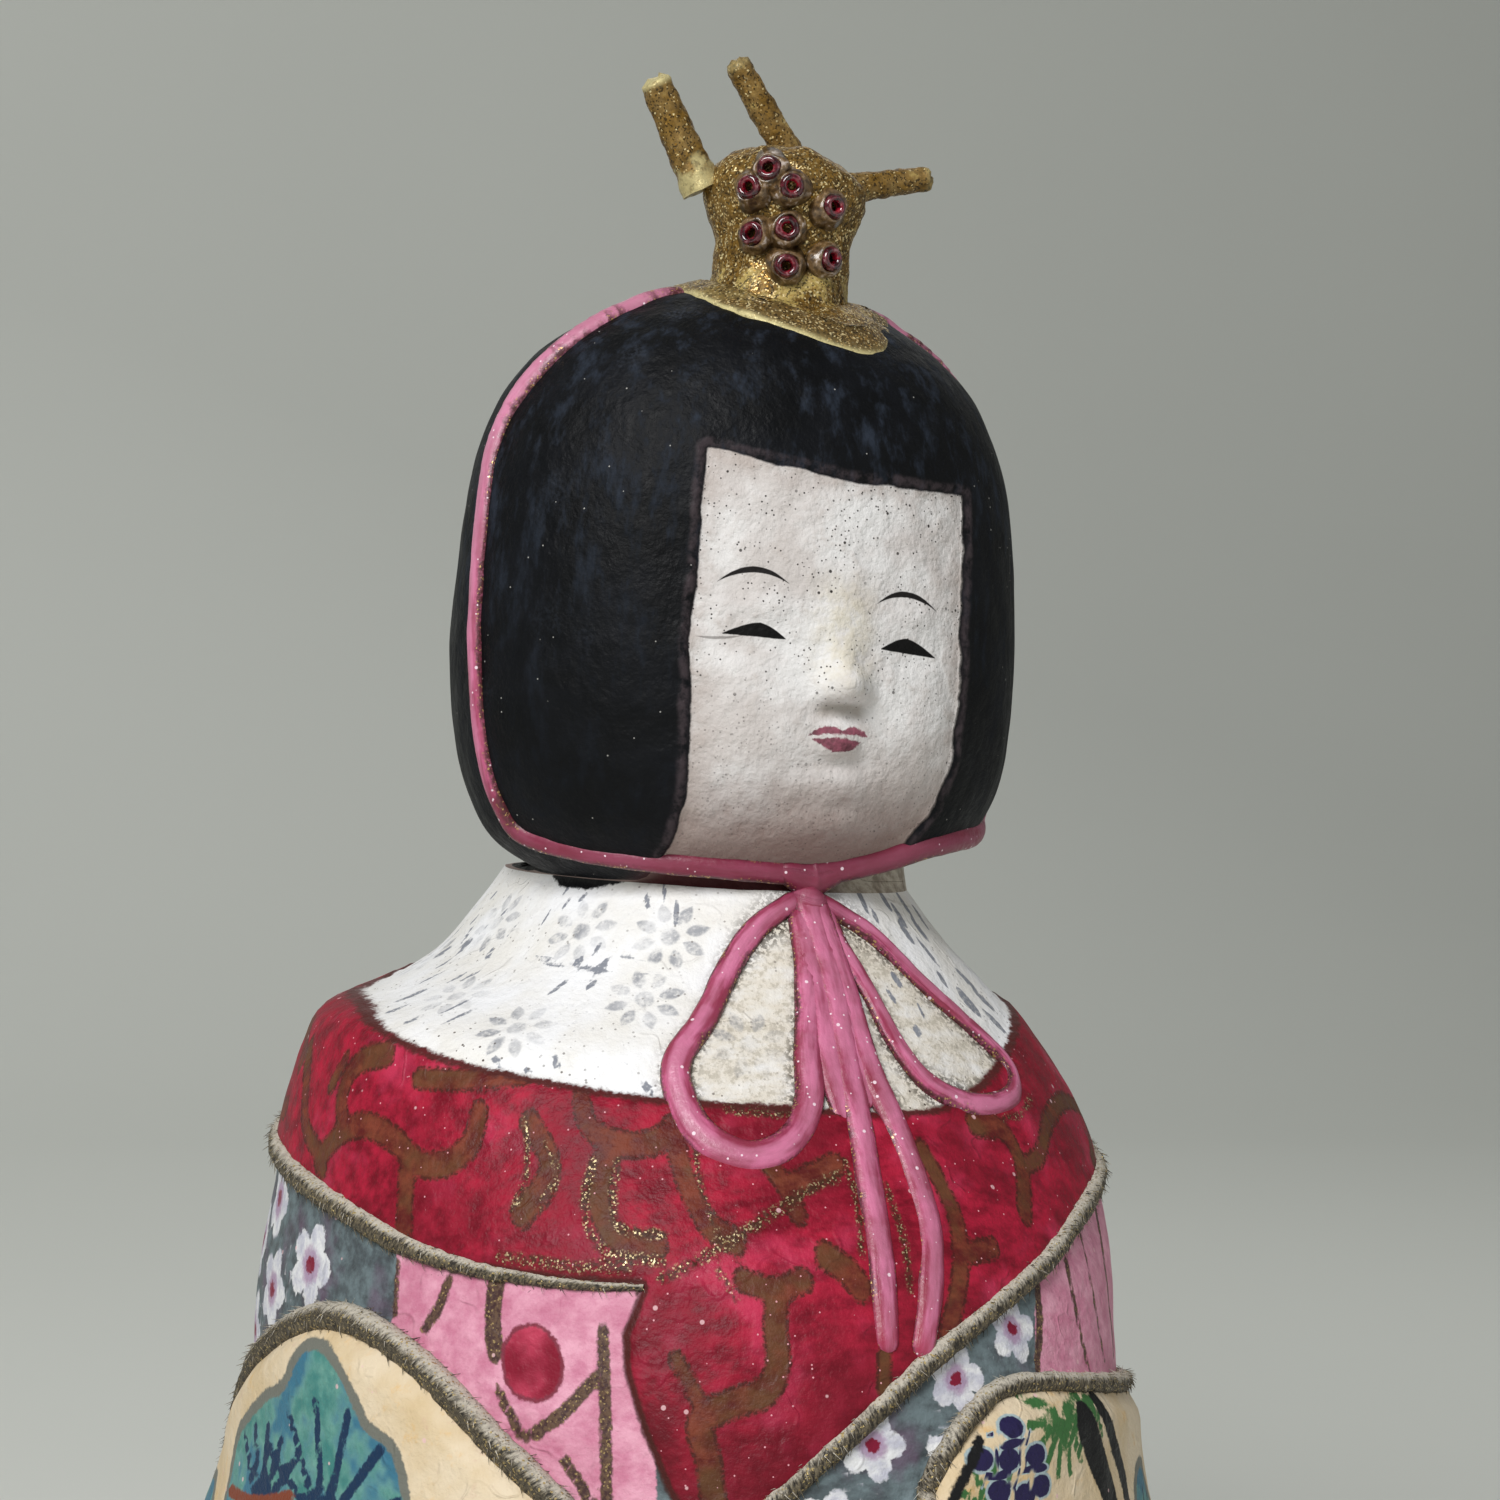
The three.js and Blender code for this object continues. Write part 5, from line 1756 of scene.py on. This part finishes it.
# %% Gilded paint
def gilt_paint(name, worn):
    """Glitter in brown glue over cream pulp; worn from 0 to 1 bares more cream."""
    paint = start_material(name)
    mm = paint.mm()
    flakes = mm.cells(0.17, "Color").parts()
    broad = mm.cloud(2.6, 3.0, 0.65)
    brush = mm.cloud(0.7, 4.0, 0.7)
    base = brush.tones("#46310f", "#8c6a2a", 0.3)
    base = base.coat(broad.ramp(0.35, 0.65, 0, worn * 0.9), "#94794a")
    height = mm.parts()[2]
    waist = abs(height - 169.0).ramp(0.5, 3.5, 0.2, 0)
    bare = (broad + waist + (brush - 0.5) * 0.3).ramp(0.64 - worn * 0.1, 0.78, 0, 0.8)
    base = base.coat(bare, paint.mix(brush, "#9c8340", "#d2bd78"))
    foot = paint.stored("foot")
    base = base.coat(foot * 0.75, paint.mix(brush, "#3a2c14", "#6e5a34"))
    bright = flakes[0].ramp(0.66 + worn * 0.34, 0.7 + worn * 0.34) * (1 - foot * 0.3) * (1 - bare * 0.6)
    base = base.coat(bright, paint.mix(flakes[1], "#a5772a", "#fff0bc"))
    dark = flakes[2].ramp(0.16, 0.19, 1, 0)
    base = base.coat(dark * 0.75, "#1a1208")
    edge = paint.stored("worn_edge") * brush.ramp(0.35, 0.5, 0.5, 1)
    base = base.coat(edge, "#cdc08c")
    sockets = {"Base Color": base, "Roughness": flakes[1].ramp(0, 1, 0.32, 0.65),
               "Metallic": (bright * 0.85).most(0.3 - bare * 0.3) * (1 - foot * 0.6)}
    return finish_material(paint, sockets, brush * 0.6 + flakes[2] * 0.45, 0.16, 0.25)


gilt = gilt_paint("gilt_glitter", 0.3)
peg_gilt = gilt_paint("gilt_paper_peg", 0.8)
crown.data.materials.append(gilt)


# %% Making the pegs
def make_peg(name, foot, tip, radius, seed):
    """One rolled paper peg with a ragged cream end."""
    foot, tip = np.array(foot, float), np.array(tip, float)
    length = np.linalg.norm(tip - foot)
    way = (tip - foot) / length
    part = np.linspace(0, 1, peg_steps)
    bend = peg_bend * np.sin(part * math.pi)[:, None] * np.array([[0, 1, 0.4]])
    points = foot * (1 - part)[:, None] + tip * part[:, None] + bend
    girth = 1.4 * radius * (1.1 - 0.25 * part + 0.1 * np.exp(-((part / 0.12) ** 2)))
    to_tip = (1 - part) * length / radius
    girth = girth * np.sqrt(1.2 - (1 - np.clip(to_tip * 2, 0, 1)) ** 2)
    mesh = grown(path_mesh(points, girth), laid_cord, {
        "Unevenness": 0.00034, "Lump Size": 0.0011, "Step": 0.0003, "Seed": seed, "Sides": 22,
        "Finish": peg_gilt,
    })
    place = mesh_points(mesh)
    beyond = (place - tip) @ way
    near_tip = smooth_step(beyond, -1.6, 0)
    torn = torn_depth * dents(place, 0.55, seed) * near_tip
    place = place + way * (torn - 0.35 * near_tip)[:, None]
    move_points(mesh, place)
    store(mesh, "foot", np.zeros(len(place)))
    pale = smooth_step(beyond + torn * 2, -1.5, -0.4) * (1 if radius > 1 else 0.3)
    if name.endswith("left"):
        patch = 2.9 + 1.5 * dents(place, 1.3, seed + 3) + 0.6 * dents(place, 0.4, seed + 4)
        pale = np.maximum(pale, smooth_step(patch - (place - foot) @ way, 0, 0.5) * 0.8)
    store(mesh, "worn_edge", pale)
    return add_object("peg_" + name.split("_")[-1], mesh)


peg_pieces = {}
for number, (name, (foot, tip, radius)) in enumerate(pegs.items()):
    peg_pieces[name] = make_peg(name, foot, tip, radius, 11.0 + number)
print("pegs:", list(peg_pieces))


# %% Glass and glue
def glass_paint():
    """Wine-red glass, brighter in its hole."""
    paint = start_material("red_glass")
    streak = paint.mm().cloud(0.7, 3.0, 0.6)
    inner = paint.stored("hole")
    base = streak.tones("#26070c", "#631826")
    base = base.coat(inner * streak.ramp(0.42, 0.6, 0.0, 1), "#a01128")
    base = base.coat(streak.ramp(0.56, 0.7, 0, 0.6) * (1 - inner), "#a07678")
    sockets = {"Base Color": base, "Roughness": 0.14, "Coat Weight": 0.6}
    return finish_material(paint, sockets, streak, 0.05)


def glue_paint():
    """Dried glue: cloudy white to brown, glossy."""
    paint = start_material("dried_glue")
    cloud = paint.mm().cloud(0.9, 4.0, 0.65)
    base = cloud.tones("#35230f", "#7d6240")
    base = base.coat(cloud.ramp(0.56, 0.7, 0, 0.75), "#cfc3bd")
    sockets = {"Base Color": base, "Roughness": 0.28, "Coat Weight": 0.4}
    return finish_material(paint, sockets, cloud, 0.12)


glass = glass_paint()
glue = glue_paint()
print("bead finishes:", glass.name, glue.name)

# %% Glass beads in rings of glue
bead_places = [
    (-36, 180), (-48, 178.2), (-21, 178.4), (9, 177), (-48, 174), (-22, 174.6), (14, 172.2),
    (-21, 171),
]
bead_radius = 1.2
bead_hole = 0.42
bead_length = 1.6
bead_columns = 28
glue_profile = [
    (0.9, -1.3), (2.05, -1.25), (1.85, -0.7), (1.6, -0.15), (1.4, 0.15), (1.22, 0.22),
    (1.1, 0.0), (0.95, -0.6),
]


def tilted_ring(centre, outward_way, profile, columns, seed, lump):
    """A ring turned about an outward axis, from pairs of radius and reach, slightly uneven."""
    side = unit(np.cross((0, 0, 1), outward_way))
    rise = np.cross(outward_way, side)
    angles = np.linspace(0, 2 * math.pi, columns, endpoint=False)
    points = []
    for radius, out in profile:
        for angle in angles:
            wave = 1 + lump * noise.noise(Vector((math.cos(angle), math.sin(angle), seed + out)))
            away = side * math.cos(angle) + rise * math.sin(angle)
            points.append(centre + outward_way * out + away * radius * wave)
    faces = []
    for row in range(len(profile)):
        low = row * columns
        high = (row + 1) % len(profile) * columns
        for a in range(columns):
            b = (a + 1) % columns
            faces.append((low + a, low + b, high + b, high + a))
    return np.array(points), faces


def bead_surface(height):
    """The cup's radius at a height."""
    table = np.asarray(cup_profile)
    return float(np.interp(height, table[:8, 1], table[:8, 0]))


def make_bead(number, turn, height):
    """One glass bead and its ring of glue."""
    way = np.array([math.sin(math.radians(turn)), -math.cos(math.radians(turn)), 0])
    tube = (bead_radius - bead_hole) / 2
    ring = (bead_radius + bead_hole) / 2
    reach = bead_surface(height) + 0.3 + tube * bead_length
    centre = np.array([crown_middle[0], crown_middle[1], height]) + way * reach
    around = np.linspace(0, 2 * math.pi, 16, endpoint=False)
    profile = [(ring + tube * math.cos(a), tube * bead_length * math.sin(a)) for a in around]
    points, faces = tilted_ring(centre, way, profile, bead_columns, number * 3.1, 0.05)
    bead = new_piece("glass_bead_%d" % (number + 1), points, faces)
    hole = np.repeat([max(0.0, -math.cos(a)) ** 1.5 for a in around], bead_columns)
    store(bead.data, "hole", hole)
    bead.data.materials.append(glass)
    blob, blob_faces = tilted_ring(centre, way, glue_profile, bead_columns, number * 5.7 + 2, 0.3)
    return bead, blob, blob_faces


beads = []
glue_points = []
glue_faces = []
for number, (turn, height) in enumerate(bead_places):
    bead, blob, blob_faces = make_bead(number, turn, height)
    beads.append(bead)
    glue_faces += [tuple(i + len(glue_points) * len(blob) for i in face) for face in blob_faces]
    glue_points.append(blob)
glue_piece = new_piece("bead_glue", np.vstack(glue_points), glue_faces)
glue_piece.data.materials.append(glue)
print(len(beads), "beads")

# %% [markdown]
# ## Faces outwards
# A lathe grid can come out with its faces turned inwards, which shows in gloss
# and in an exported model. Blender works out the outside of a closed mesh.

# %% Normals
import bmesh


def face_outwards(piece):
    """Recalculates a closed mesh's normals so that they point out."""
    work = bmesh.new()
    work.from_mesh(piece.data)
    bmesh.ops.recalc_face_normals(work, faces=work.faces)
    work.to_mesh(piece.data)
    work.free()


for piece in [shell, crown, glue_piece, edging_piece, bow_piece] + beads + list(peg_pieces.values()):
    face_outwards(piece)

# %% [markdown]
# ## Joining the pieces to the solids
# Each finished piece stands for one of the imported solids. The shell, its cords
# and its edging are one moulded thing, so all three stand for the same solid.

# %% What each piece stands for
for piece in (shell, edging_piece, bow_piece):
    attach(piece, "root")
    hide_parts("papier_mache_figure")
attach(crown, "root")
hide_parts("crown_cup")
for name, piece in peg_pieces.items():
    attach(piece, "root")
    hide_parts(name)
for number, bead in enumerate(beads):
    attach(bead, "root")
    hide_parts("crown_bead_%d" % (number + 1))
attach(glue_piece, "root")

# %% [markdown]
# ## The table and the light
# A pale sweep curves up behind the doll, so that there is no horizon. A large
# soft light stands high to its right, with a weaker one on the other side.

# %% The sweep
def make_sweep():
    """A floor that curves up into a backdrop, with no corner."""
    profile = [(-1.5, 0.0), (0.6, 0.0)]
    for step in range(1, 13):
        angle = math.radians(step * 7.5)
        profile.append((0.6 + 0.5 * math.sin(angle), 0.5 - 0.5 * math.cos(angle)))
    profile.append((1.1, 2.4))
    points = []
    for along, height in profile:
        for across in (-2.5, 2.5):
            points.append((across, along, height))
    faces = [(2 * i, 2 * i + 1, 2 * i + 3, 2 * i + 2) for i in range(len(profile) - 1)]
    sweep = add_mesh("pale_sweep", points, faces)
    paint = start_material("pale_paper")
    tone = paint.mix(paint.mm().cloud(400.0, 2.0), "#d2d4ce", "#dadcd6")
    sweep.data.materials.append(finish_material(paint, {"Base Color": tone, "Roughness": 0.9}))
    return sweep


sweep = make_sweep()


# %% The lights
def area_light(name, place, target, size, power):
    """A square soft light that faces a place."""
    data = bpy.data.lights.new(name, "AREA")
    data.shape = "SQUARE"
    data.size = size
    data.energy = power
    light = add_object(name, data)
    light.location = place
    light.rotation_euler = (Vector(target) - Vector(place)).to_track_quat("-Z", "Y").to_euler()


chest = (0, 0, 0.12)
area_light("window", (-0.7, -0.6, 0.8), chest, 0.5, 13.0)
area_light("fill", (0.6, -0.7, 0.35), chest, 0.8, 1.2)
area_light("back", (0.3, 0.6, 0.7), chest, 0.6, 0.7)
world = bpy.data.worlds.new("soft_room")
world.use_nodes = True
background = world.node_tree.nodes["Background"]
background.inputs["Color"].default_value = (0.82, 0.84, 0.82, 1)
background.inputs["Strength"].default_value = 0.24
bpy.context.scene.world = world
bpy.context.scene.view_settings.view_transform = "Standard"
